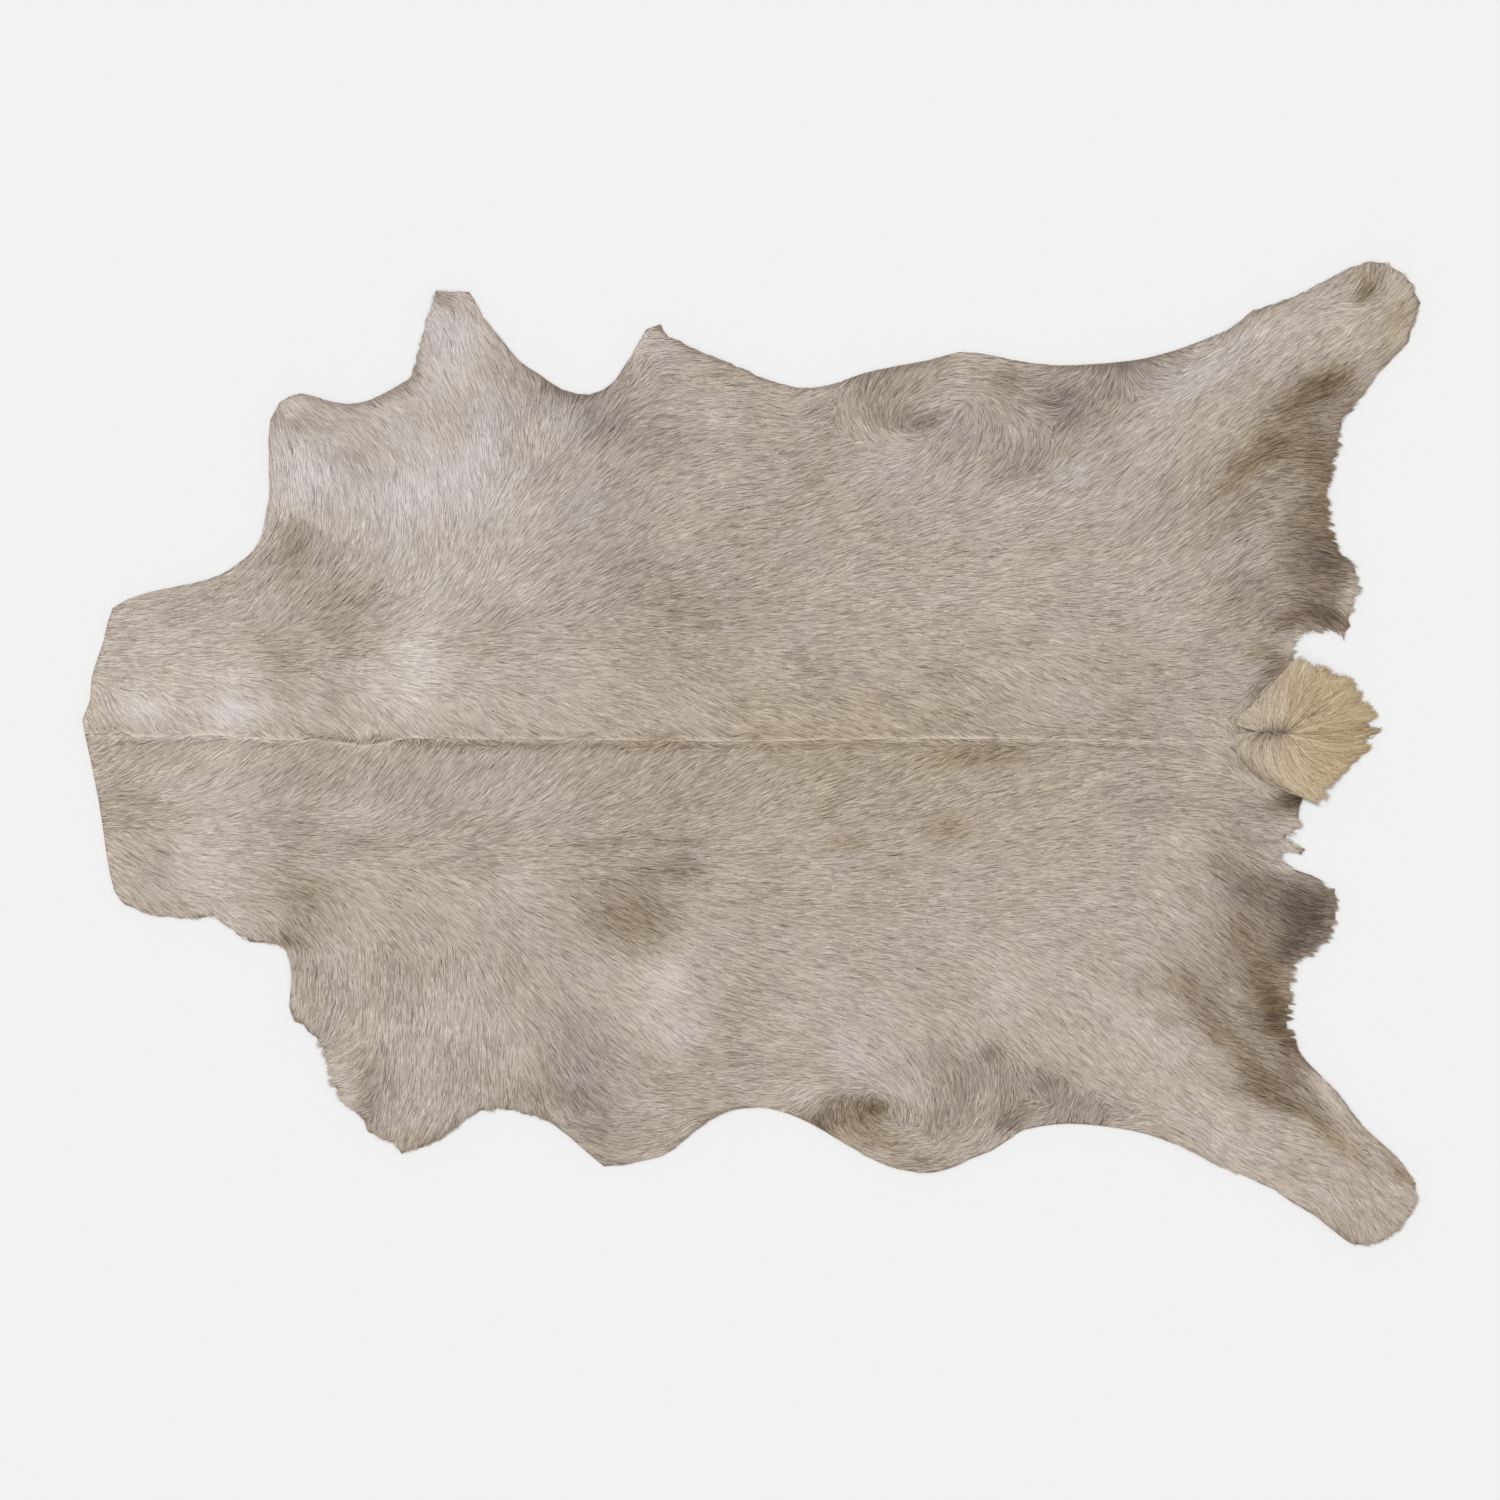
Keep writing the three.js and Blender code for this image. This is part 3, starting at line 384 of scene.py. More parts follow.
PATCHES_SHOULDERS = [
    (240, 182, 34, 16, 8, -0.2), (300, 185, 40, 26, 7, -0.2), (276, 298, 18, 30, 16, -0.3),
    (274, 331, 9, 7, -34, 0.1), (248, 76, 20, 42, 15, -0.1), (316, 92, 12, 12, -9), (300, 50, 30, 22, 5),
    (232, -38, 16, 12, -9), (300, -95, 11, 11, -14, 0.1), (275, -60, 24, 10, -5),
    (330, -104, 24, 12, 7, 0, 15), (226, -256, 14, 18, -14), (216, -272, 7, 14, -22, 0.1, 20),
    (248, -296, 22, 9, -13, 0.15), (250, -245, 20, 18, 5, -0.1), (280, -210, 36, 26, 4, -0.1),
    (312, -220, 16, 16, 5, -0.1), (242, -172, 12, 20, -8), (225, 240, 24, 10, -3, -0.1),
    (262, 262, 12, 14, 4, -0.2), (310, 240, 20, 24, -2, -0.2), (240, 205, 60, 48, 14, -0.2),
    (278, 118, 36, 34, 11, -0.05), (240, 48, 30, 32, 11, -0.05), (300, 218, 14, 16, 12, -0.1),
    (278, 300, 24, 40, 10, -0.1), (232, -60, 22, 24, 8, 0, -40), (320, -36, 52, 20, 11),
    (265, -138, 20, 10, -8), (270, -206, 50, 26, 7), (250, -280, 26, 18, 9),
    (300, 175, 110, 78, 6, -0.05), (304, 252, 14, 26, 14, -0.15), (280, 318, 10, 12, -10, 0.15),
    (285, -12, 75, 7, 8), (336, -80, 14, 16, 8), (222, -214, 14, 12, 9, -0.05), (332, 112, 14, 12, 10),
    (258, 66, 22, 12, 8, -0.05), (300, 170, 100, 70, 3), (232, 146, 18, 26, 7, -0.1),
    (265, 30, 70, 20, 6), (240, 40, 30, 26, 6, -0.1), (300, -104, 30, 6, 5, 0, 15), (300, 160, 70, 70, 3),
    (225, 246, 14, 7, 12, 0, 20), (282, 268, 12, 12, 9, -0.15), (325, -235, 12, 14, 8),
    (265, 95, 16, 14, 6), (292, 303, 9, 22, 10), (240, -298, 16, 10, 12), (214, -144, 12, 14, 8),
    (216, 6, 10, 8, 14), (286, -58, 14, 8, 10), (298, 288, 8, 18, 8, -0.1), (251, 288, 6, 12, 10),
    (268, 318, 8, 16, 7), (275, -288, 10, 10, 9),
]
PATCHES_FLANKS = [
    (345, 195, 11, 10, -9, -0.1), (365, 228, 16, 20, -6, -0.3), (394, 242, 20, 17, -25, -0.15),
    (432, 226, 34, 16, -20, -0.15), (385, 180, 30, 24, -11, -0.2), (424, 118, 40, 20, -15, 0, -20),
    (452, 96, 26, 14, -10, 0.15), (374, 140, 24, 14, -7, -0.1), (432, 290, 18, 18, -4, -0.25),
    (404, 268, 12, 12, -10, -0.1), (375, -3, 130, 6, -11, 0.25), (432, -1, 22, 5, -8, 0.2),
    (412, -126, 30, 24, -27, 0.2, -10), (442, -96, 24, 10, -24, 0.2), (446, -74, 30, 7, -13, 0.15, 5),
    (392, -76, 40, 6, -12, 0.1, 12), (438, -180, 18, 24, 14, -0.25, -20),
    (446, -218, 15, 20, 12, -0.25, -35), (378, -168, 24, 14, -2, -0.15), (362, -212, 24, 22, -12, -0.2),
    (376, -248, 24, 24, -18, -0.2), (384, -280, 18, 16, -18, -0.1, -30), (396, -300, 14, 10, -14),
    (420, -290, 26, 12, -6), (342, -262, 28, 10, -16), (492, -205, 14, 60, -6),
    (350, 250, 24, 12, -3, -0.15), (520, 10, 120, 50, -5, 0.2), (520, 170, 24, 12, -6, 0.05, 20),
    (548, 205, 16, 30, -4), (470, 250, 26, 14, 0, -0.1), (556, -54, 14, 8, -7, 0.3),
    (548, -284, 14, 5, -20, 0, -30), (538, -268, 12, 7, 10, -0.1, 30), (350, 236, 20, 10, 9),
    (356, 262, 20, 5, -14), (405, -140, 50, 20, -15, 0.1), (388, -236, 40, 38, -9),
    (476, -236, 20, 14, -8), (440, 66, 52, 24, -7, 0.12), (430, -40, 52, 22, -7, 0.2),
    (540, -270, 10, 8, 6), (530, -120, 40, 24, -4, 0.12), (550, 208, 16, 10, 6), (340, 232, 20, 13, 12),
    (378, 198, 16, 26, 8, -0.1), (408, -98, 74, 24, -12, 0.03), (506, -88, 14, 9, -12, 0.1),
    (362, -262, 26, 14, -10, 0.05, -40), (375, 62, 22, 14, 8), (350, -92, 34, 10, 8, 0, 20),
    (340, 268, 40, 7, -10, 0, -25), (506, -170, 10, 24, -6), (378, -296, 14, 8, -10, 0, -40),
    (568, -268, 12, 10, -7, -0.05), (515, 190, 18, 12, 6), (345, 272, 18, 6, 8, 0, -25),
    (430, 300, 10, 12, 8), (455, -150, 12, 12, 8), (500, 100, 30, 20, -6), (420, 284, 10, 14, 8),
    (412, -205, 16, 16, 6, -0.1), (362, -256, 16, 12, 7), (500, 262, 40, 14, 5),
    (375, -302, 14, 8, -14, 0, -40), (345, 268, 16, 6, 8, 0, -25), (364, 264, 10, 5, -12),
    (530, -262, 14, 10, 8), (342, -62, 12, 10, 9), (370, -240, 14, 10, 7, -0.05),
    (430, -205, 12, 20, 5, -0.1), (410, 235, 14, 14, 6), (465, 240, 14, 10, 6), (432, 300, 8, 10, 8),
    (395, -298, 10, 8, 8),
]
PATCHES_LOIN = [
    (640, -20, 110, 60, -4, 0.18), (600, 262, 26, 12, -11, 0.1), (574, 274, 8, 6, -22, 0.1),
    (618, 239, 26, 8, -27, 0.05), (655, 262, 14, 14, 4, -0.25), (652, 235, 20, 16, -4, -0.25),
    (690, 270, 13, 7, -16, 0.1), (690, 196, 18, 7, -16, -0.1, 15), (708, 210, 16, 10, -9, -0.2),
    (700, 236, 6, 11, 6, -0.2), (605, 200, 24, 24, 3, -0.2), (670, 175, 50, 26, 5, -0.1),
    (645, 52, 14, 9, -12, 0.05), (715, 76, 9, 9, -12, 0.05), (676, 84, 10, 4, -12, 0.1),
    (682, -11, 32, 9, -20, 0.3), (648, -12, 14, 10, -10, 0.2), (645, -66, 16, 11, -17, 0.35),
    (570, -77, 14, 8, -9, 0.3), (726, -34, 12, 12, 0, 0.2), (690, -195, 20, 14, 6, -0.2),
    (598, -200, 13, 12, 10, -0.25), (572, -236, 13, 20, 8, -0.25), (582, -278, 28, 11, -36, 0.3, 5),
    (597, -273, 9, 6, -26, 0.2), (602, -300, 22, 10, -14, 0.25, -20), (640, -230, 12, 9, -14),
    (682, -231, 9, 7, -26, 0.1), (650, -246, 20, 10, -16), (722, -256, 20, 13, -25, -0.05, -10),
    (700, -284, 15, 7, -26, 0, 30), (640, -290, 9, 12, -12), (622, -262, 9, 9, 6, -0.1),
    (720, 250, 46, 28, -10), (694, 276, 14, 8, -10), (635, 158, 20, 14, 6), (650, 120, 80, 30, 4),
    (672, -238, 34, 20, -14), (692, -290, 12, 8, -12), (574, -290, 28, 18, -13, 0.25, -20),
    (630, -318, 20, 6, -12, 0.15), (660, 18, 26, 12, -5, 0.05), (650, -264, 18, 26, -13),
    (702, -252, 36, 16, -8), (628, -312, 20, 7, -10, 0.1), (714, -272, 22, 8, -10),
    (575, -285, 14, 8, 6, -0.1), (655, 172, 10, 16, -5), (620, 215, 14, 8, 7), (664, -262, 12, 20, -8),
    (650, -248, 14, 16, -7), (700, 100, 16, 12, 5), (725, 132, 14, 10, 6, -0.1), (600, 250, 22, 10, -8),
    (690, 206, 10, 12, -7), (700, 250, 26, 9, -6), (690, -280, 10, 14, -12), (648, -252, 10, 10, 8),
    (620, -28, 14, 8, 7), (645, 190, 12, 12, 9), (632, 237, 12, 6, -14), (612, 250, 8, 8, 8),
    (605, 275, 26, 6, 7, 0, 10), (650, -158, 10, 12, 7), (658, -246, 12, 8, 9),
    (648, -245, 16, 10, 6, 0.1), (618, -320, 16, 5, -10), (710, 215, 20, 8, -5), (660, 20, 24, 6, -6),
    (725, 76, 14, 12, 6, -0.08), (575, 200, 16, 12, 5), (655, 240, 10, 20, 5, 0.05),
    (600, 279, 40, 4, 8, 0, 15),
]
PATCHES_THIGHS = [
    (735, 254, 17, 13, -27, -0.15), (742, 236, 12, 10, -16, -0.1), (784, 270, 40, 14, -16, -0.2, 5),
    (738, 198, 20, 10, 7, -0.25), (820, 262, 22, 12, 12, -0.2, 35), (866, 292, 40, 16, 9, -0.2, 20),
    (846, 244, 40, 9, 9, 0, 38), (800, 215, 30, 14, 4, -0.05, 20), (818, 190, 22, 8, -9, 0.15, 45),
    (866, 200, 34, 9, -22, 0.35, 40), (852, 158, 22, 9, -15, 0.3, 35), (765, 94, 12, 10, -6),
    (806, -46, 26, 11, -11), (816, -8, 26, 4, -12, 0.05), (865, 11, 5, 8, -18, 0.1),
    (864, -15, 9, 4, -22, 0.2, -50), (850, -92, 16, 10, -12, 0.05, -30),
    (852, -220, 26, 9, -30, 0.35, -32), (828, -188, 30, 12, -26, 0.3, -42), (830, -114, 8, 8, -12, 0.15),
    (780, -200, 50, 11, 7, 0, -40), (760, -176, 30, 6, -7, 0.05, -35), (752, -276, 26, 9, -19, -0.05),
    (846, -268, 30, 12, 6, 0.1, -30), (860, -300, 40, 10, 4, -0.15, -25), (735, 176, 50, 16, 8),
    (796, 112, 38, 44, 7), (786, 215, 18, 16, 5), (866, 230, 24, 22, -8, 0.2),
    (838, 275, 30, 13, 8, -0.15, 20), (862, -86, 20, 26, -14), (866, -186, 40, 34, -15, 0.1),
    (752, -274, 14, 8, 7), (790, -182, 26, 10, -10, 0.05, -45), (862, -52, 14, 12, -8),
    (742, 268, 24, 12, -7, 0.05), (850, 4, 26, 20, 8), (735, 70, 14, 10, 8), (735, 128, 20, 14, 6),
    (836, 262, 40, 8, 6, 0, 40), (740, 272, 14, 8, 8), (860, 92, 14, 12, -10, 0.05),
    (862, -112, 18, 14, -12), (840, -150, 16, 20, -8, 0.1), (855, 232, 16, 12, 8, -0.2),
    (850, -30, 22, 34, -5), (838, -154, 14, 12, 2, -0.1), (838, -206, 12, 10, 12, -0.1, -45),
    (850, 208, 16, 8, -8, 0, 40), (750, 242, 18, 8, -11, 0, 30), (830, -180, 36, 9, -10, 0, -65),
    (800, 50, 60, 60, -7), (864, -262, 14, 7, -12, 0, -35), (750, 272, 16, 7, 8), (732, 262, 8, 8, 6),
    (735, -284, 30, 6, -10), (800, 248, 20, 10, 8, -0.1, 20), (835, -190, 10, 8, 12),
    (850, -255, 20, 7, -8, 0, -35), (810, -115, 10, 14, 8), (860, -150, 20, 20, 2, 0.12),
    (815, 80, 20, 20, 5), (842, 122, 8, 12, -7), (745, 180, 14, 10, 7, -0.1),
    (770, 240, 24, 8, -7, 0, 25), (862, 182, 10, 12, -9), (812, -210, 12, 8, -8, 0, -45),
    (744, 198, 14, 12, 7, -0.1), (815, -212, 14, 6, -8, 0, -45), (845, -190, 30, 8, -7, 0, -55),
    (800, 95, 34, 14, 5), (745, -288, 40, 4, -10), (745, 246, 10, 10, 8), (752, 270, 14, 6, 8),
    (745, -30, 20, 14, 5), (765, 35, 20, 10, 5),
]
PATCHES_RUMP = [
    (900, 228, 24, 22, -32, 0.4, 30), (918, 262, 26, 12, -45, 0.45, 35), (938, 270, 18, 10, -22, 0.3, 40),
    (932, 205, 16, 34, -38, 0.35), (886, 188, 20, 10, -14, 0.1, 20), (926, 165, 22, 18, -34, 0.3),
    (934, 142, 22, 16, -48, 0.2), (905, 150, 14, 24, -22, 0.15), (925, 122, 26, 16, -34, 0.2),
    (932, 94, 20, 9, -62, 0.35, -20), (902, 90, 16, 9, -32, 0.35, 10), (870, 110, 18, 14, -14, 0.05),
    (884, 66, 18, 10, -20, 0.3), (896, 54, 8, 12, -26, 0.35, -40), (880, 36, 5, 14, -30, 0.2, -35),
    (960, 334, 9, 5, -46, 0.4, 40), (962, 350, 16, 9, -9, 0.15, 10), (985, 318, 18, 8, -9, 0.25, 40),
    (978, 292, 18, 10, -10, 0.2, 40), (948, 312, 24, 12, 4, 0.05, 36), (906, -43, 15, 6, -58, 0.3, 10),
    (870, -72, 13, 7, -24, 0, -30), (885, -112, 20, 12, -24, 0.1, -20), (922, -130, 26, 24, -72, 0.2),
    (872, -142, 18, 20, -20, 0.25), (884, -176, 14, 20, -36, 0.3), (898, -200, 14, 26, -42, 0.35),
    (908, -232, 12, 14, -40, 0.35), (882, -250, 20, 10, -36, 0.4, -30), (894, -270, 26, 7, -36, 0.4, -22),
    (936, -296, 32, 7, -24, 0.4, -42), (986, -322, 14, 6, -28, 0.4, -45), (936, -268, 28, 4, 12, 0, -52),
    (950, -345, 30, 16, -3, 0.25, -30), (890, 308, 24, 13, 8, 0, 30), (938, 250, 18, 16, -18, 0, 45),
    (905, 210, 34, 34, -13, 0.1), (936, 118, 18, 22, -14, 0.1), (965, 346, 20, 7, -8, 0.1),
    (982, 312, 16, 16, -6, 0.15, 40), (873, 50, 9, 9, 7), (898, -51, 20, 7, -12, 0.1),
    (905, -108, 30, 9, -14, 0.1, -20), (906, -156, 14, 12, -38, 0.1), (890, -206, 14, 20, -16, 0.1),
    (906, -250, 16, 15, -18, 0.1), (960, -292, 28, 7, -12, 0.1, -48), (920, -326, 22, 16, -4, 0.15, -30),
    (900, 140, 46, 66, -9, 0.03), (930, 104, 26, 18, -10), (946, 262, 12, 20, -14, 0.1),
    (872, 205, 16, 12, -8, 0.1), (884, 264, 16, 12, -10, 0.2), (882, -130, 38, 50, -18),
    (880, -214, 26, 30, -16, 0.08), (920, -268, 26, 8, -30, 0.1, -50), (888, -48, 24, 16, -18),
    (884, 50, 18, 9, -18, -0.05, 50), (922, 132, 24, 22, 12), (908, -42, 12, 6, -18, 0, -20),
    (870, -250, 20, 10, -10, 0.1, -45), (890, -170, 14, 26, 8), (900, 232, 14, 10, 8, -0.2),
    (935, 275, 14, 10, 7), (886, 118, 10, 14, -5), (900, -160, 10, 12, -18), (870, -244, 10, 8, 8),
    (890, -212, 14, 12, -8), (905, -268, 16, 8, -16, 0.05, -45), (882, 192, 10, 6, 8),
    (950, 325, 70, 40, 6, 0, 40), (895, 6, 12, 4, -70), (885, -262, 30, 8, -11, 0, -45),
    (960, 320, 50, 30, 6, 0, 40), (875, 232, 28, 10, 8, 0, 20), (892, -186, 12, 14, 8, -0.15),
    (868, -75, 14, 10, 8), (885, 212, 12, 12, 8), (890, -262, 14, 8, 10, 0, -35),
    (930, -330, 16, 12, 9, -0.2), (882, 42, 8, 10, 8), (905, -80, 8, 12, 8), (938, -128, 8, 16, 24),
    (906, -200, 8, 20, 16, 0.05), (951, 100, 8, 22, 18), (906, 70, 9, 9, 16), (912, -168, 8, 10, 14),
    (898, -88, 8, 8, 12), (935, 182, 8, 14, 10), (912, -238, 8, 10, 12), (985, 300, 12, 14, 8, 0, 50),
    (935, -340, 18, 10, 8, -0.2, -30), (955, 272, 10, 20, -8, 0, -40), (904, 70, 9, 9, 12),
    (906, -68, 8, 9, 14), (915, 158, 14, 10, 7, -0.1), (938, 212, 8, 8, 10), (972, 342, 14, 12, -12),
    (910, -230, 8, 10, 9), (885, -180, 14, 14, 5, 0.08), (954, 112, 6, 10, 14),
    (985, 298, 10, 16, 8, 0, -40), (936, -140, 8, 10, 10), (935, 165, 7, 8, 12), (875, -72, 14, 10, 8),
    (885, 42, 10, 8, 8), (905, -46, 10, 5, 8, 0, -20), (968, 356, 14, 5, 8), (890, 185, 10, 8, 7),
    (880, 245, 20, 10, 6, 0, 30), (895, -175, 12, 12, 7, 0.05), (910, 165, 16, 10, 6),
    (985, 320, 12, 20, 4, 0.1), (940, 345, 30, 8, -5, 0, 25), (960, 338, 10, 6, -8, 0.2, 50),
]
PATCHES = (
    PATCHES_NECK + PATCHES_SHOULDERS + PATCHES_FLANKS
    + PATCHES_LOIN + PATCHES_THIGHS + PATCHES_RUMP
)
# How a patch fades with the distance from its middle
PATCH_POWER = 1.3
PATCH_FALL = 0.9

# The fan of the tail: where its hairs start, pass and end, as the sweep goes from the upper side
# round the tail's end to the lower side. Each point is along, across.
FAN = np.array([
    [(884, 6), (875, 9), (864, 12)],
    [(884, 6), (876, 14), (868, 20)],
    [(884, 6), (879, 18), (875, 26)],
    [(885, 6), (884, 18), (884, 34)],
    [(888, 6), (888, 25), (893, 44)],
    [(892, 6), (894, 30), (902, 54)],
    [(896, 6), (899, 36), (908, 61)],
    [(899, 6), (907, 36), (918, 69)],
    [(901, 6), (914, 34), (928, 60)],
    [(902, 6), (922, 30), (943, 54)],
    [(903, 6), (928, 25), (955, 46)],
    [(903, 6), (932, 19), (964, 38)],
    [(903, 6), (936, 12), (973, 21)],
    [(903, 6), (937, 5), (977, 10)],
    [(903, 6), (935, -2), (972, -4)],
    [(902, 6), (929, -10), (955, -18)],
    [(901, 6), (921, -16), (947, -28)],
    [(900, 6), (913, -21), (936, -39)],
    [(897, 6), (903, -25), (933, -51)],
    [(892, 6), (889, -20), (922, -46)],
    [(888, 6), (879, -17), (900, -37)],
    [(885, 6), (871, -11), (883, -29)],
    [(884, 6), (868, -3), (871, -18)],
    [(884, 6), (872, 3), (863, -4)],
    [(884, 6), (874, 6), (863, 4)],
], float)
FAN_HAIRS = 30000
FAN_HAIR_SHARE = 0.5  # length of one hair as a share of the way from root to tip
FAN_SPANS = (0.7, 1.2)  # least and greatest length of a hair in units of that
FAN_SHORTEST = 0.18  # least share of the way that a hair covers
FAN_WIDTH = 0.72
FAN_WIDTHS = (0.7, 1.3)
FAN_TAPER = 0.8  # width near the tip as a share of the width near the root
FAN_ROLL = 30
FAN_LAST_START = 0.78  # share of the way at which the last hairs start
FAN_CROWD = 0.9  # below 1 fewer of them start near the root
FAN_STATIONS = (0, 0.35, 0.72, 1)
FAN_JITTER = 0.006  # how far a station may leave its hair's sweep
FAN_LOCKS = 120
FAN_PULL = 0.7  # how far a lock's hairs are drawn to its middle at the tip
FAN_GATHER = 3  # how late on their way that happens
FAN_SCATTER = 0.15  # how far a lock's middle lies off its place, in locks
FAN_RAGGED = 0.15  # how much shorter than the fan its shortest lock is
FAN_ENDS = (0.92, 1.02)  # where a lock's hairs end, as shares of its reach

# Heights of the fan; where there are two, the first is the lowest layer's and the second the highest's
FAN_SEAT = 4.2  # height of the hair that it lies on
FAN_SWELL = 3.1  # its height over that hair where it is fullest
FAN_LAYERS = (0.35, 1)  # shares of the swell
FAN_EARLY = 0.6  # below 1 the fullest part lies nearer to the root
FAN_ROUND = 0.8  # below 1 the swell is fuller towards its ends
FAN_ROOT_DROP = 0.9  # how far hairs start below the swell
HIND_EDGE = 922  # past this the fan sinks towards the floor
FAN_SINK = 0.085  # fall over each millimetre past it
FAN_SINKS = (1.1, 0.8)  # shares of that fall
FAN_FLOOR = (0.4, 1.2)  # least heights over the floor

# Tones of the fan, in steps: of all of it, of single hairs and locks, and of its marks by their places
FAN_TONE = -8
FAN_HAIR_TONE = 20
FAN_LOCK_TONE = 3
# by station from root to tip: painted shade at the root, lighter towards the tip
FAN_STATION_TONES = (-14, 0, 3, 6)
# painted shade in the crease along the fan's root line
CREASE_SHADE = {"tone": -50, "across": 6, "width": 2, "middle": 894, "half": 10, "fade": 3, "cap": 9}
TAN = {"tone": -20, "across": 5, "width": 10, "from": 908, "fade": 25}
SHADE = {"tone": -12, "along": 917, "across": 28, "long": 14, "wide": 18}
# painted shadow along the fan's edge on the root side
ROOT_SHADE = {"tone": -12, "to": 890, "fade": 20}
# painted shadow along the fan's lower edge
GROOVE_SHADOW = {"tone": -24, "along": 880, "across": -22, "slope": -0.62, "width": 4}
FAN_WARMTH = (0.15, 1)  # at the root and towards the end
FAN_WARM_FROM = 885
FAN_WARM_FADE = 45
FAN_HAIR_WARMTH = 0.08

# Colours as seen, 0 to 255. A ramp's stops are a tone and its colour
COOL_COAT = [
    (0, (78, 69, 65)), (0.25, (140, 129, 125)), (0.5, (201, 190, 186)), (0.75, (238, 232, 230)),
    (1, (250, 248, 247)),
]
WARM_COAT = [
    (0, (74, 58, 42)), (0.25, (140, 120, 94)), (0.5, (199, 182, 153)), (0.75, (238, 224, 198)),
    (1, (250, 242, 224)),
]
PALE_TAIL = [
    (0, (92, 78, 62)), (0.25, (148, 131, 110)), (0.5, (204, 191, 170)), (0.75, (232, 222, 205)),
    (1, (250, 245, 234)),
]
STRAW_TAIL = [
    (0, (88, 70, 46)), (0.25, (148, 125, 91)), (0.5, (205, 183, 147)), (0.75, (233, 215, 182)),
    (1, (248, 236, 212)),
]
SUEDE_LIGHT = (176, 156, 130)
SUEDE_DARK = (128, 106, 82)
FLOOR_COLOUR = (243, 243, 243)

# Finishes: noises with their scale and detail, bumps with their strength and their depth in metres
COAT_ROUGHNESS = 0.5
TAIL_ROUGHNESS = 0.45
HAIR_SPECULAR = 0.3
TONE_GLOSS = 0.25  # how much smoother the palest hair is than the darkest
RIBS = (1800, 2)
RIB_BUMP = (0.35, 0.0003)
RIB_ROUGHNESS = 0.15
SKIN_ROUGHNESS = 0.78
SKIN_SHEEN = 0.15
CLOUD = (35, 5)
CLOUD_SHARE = 0.7
NAP = (900, 4)
NAP_BUMP = (0.4, 0.0004)
NAP_ROUGHNESS = 0.15
FLOOR_ROUGHNESS = 0.9
FLOOR_SPECULAR = 0.1

# Floor, camera and light. The camera hangs straight over the hide and takes in the photograph's square
FLOOR_HALF = 6
FLOOR_DROP = 0.0002
CAMERA_HEIGHT = 6
CAMERA_SIGHT = 100
VIEW_WIDTH = 1.125
VIEW_MIDDLE = (501, -6.75)  # along, across
SENSOR = 36
KEY_ENERGY = 1.9
KEY_SPREAD = 30  # degrees
KEY_TILT = (-18, -24, 0)
ROOM_STRENGTH = 0.46


def linear(colour):
    """A colour of 0 to 255 as seen, in linear light by the sRGB formula, with full alpha"""
    shares = [step / 255 for step in colour]
    low = [share / 12.92 for share in shares]
    high = [((share + 0.055) / 1.055) ** 2.4 for share in shares]
    return tuple(h if s > 0.04045 else l for s, l, h in zip(shares, low, high)) + (1,)


def between(ends, share):
    """The value that lies the given share of the way from the first end to the second"""
    return ends[0] + (ends[1] - ends[0]) * share


def ramp(value, start, width):
    """0 up to the start, then a straight rise to 1 over the width"""
    return np.clip((value - start) / width, 0, 1)


def hump(value, middle, width):
    """1 in the middle, fading smoothly to both sides"""
    return np.exp(-(((value - middle) / width) ** 2))


def arrows_of(angles):
    """Unit vectors at the given angles"""
    return np.stack([np.cos(angles), np.sin(angles)], axis=1)


def unit(arrows):
    """The same directions at length 1"""
    return arrows / np.maximum(np.linalg.norm(arrows, axis=1, keepdims=True), TINY)


def turned(arrows, degrees):
    """The arrows turned anticlockwise"""
    angle = np.radians(degrees)
    cos, sin = np.cos(angle), np.sin(angle)
    x, y = arrows[:, 0], arrows[:, 1]
    return np.stack([x * cos - y * sin, x * sin + y * cos], axis=1)


class Grid:
    """Numbers on a square grid over the hide's plan, read smoothly between its points"""

    def __init__(self, step, values):
        self.step = step
        self.values = values

    @staticmethod
    def points(step):
        """All points of a grid with the given step"""
        columns, rows = (PLAN_SIZE / step).astype(int) + 1
        along, across = np.meshgrid(np.arange(columns), np.arange(rows), indexing="ij")
        return PLAN_LOW + step * np.stack([along, across], axis=-1)

    def at(self, places):
        """The grid's numbers at each place"""
        spot = (places - PLAN_LOW) / self.step
        last = np.array(self.values.shape[:2]) - 2
        cell = np.clip(np.floor(spot).astype(int), 0, last)
        share = np.clip(spot - cell, 0, 1)
        if self.values.ndim == 3:
            share = share[..., None]
        u, v = share[:, 0], share[:, 1]
        i, j = cell[:, 0], cell[:, 1]
        near = self.values[i, j] * (1 - u) + self.values[i + 1, j] * u
        far = self.values[i, j + 1] * (1 - u) + self.values[i + 1, j + 1] * u
        return near * (1 - v) + far * v


def lumps(points, seed, pitch, strength):
    """Smooth unevenness over the plan, with lumps of about the given pitch"""
    random = np.random.default_rng(seed)
    columns, rows = (PLAN_SIZE / pitch).astype(int) + 3
    noise = Grid(pitch, random.normal(size=(columns, rows)))
    return strength * noise.at(points.reshape(-1, 2)).reshape(points.shape[:-1])


def blended(table, points, values):
    """Values of a table's entries, (along, across, reach), blended by nearness at each point"""
    total = np.zeros(points.shape[:-1] + values.shape[1:])
    weights = np.zeros(points.shape[:-1])
    for (along, across, reach), value in zip(table, values):
        offset = points - np.array([along, across])
        weight = (1 + (offset**2).sum(axis=-1) / reach**2) ** -BLEND_FALL
        weights += weight
        total += weight[..., None] * value
    return total / weights[..., None]


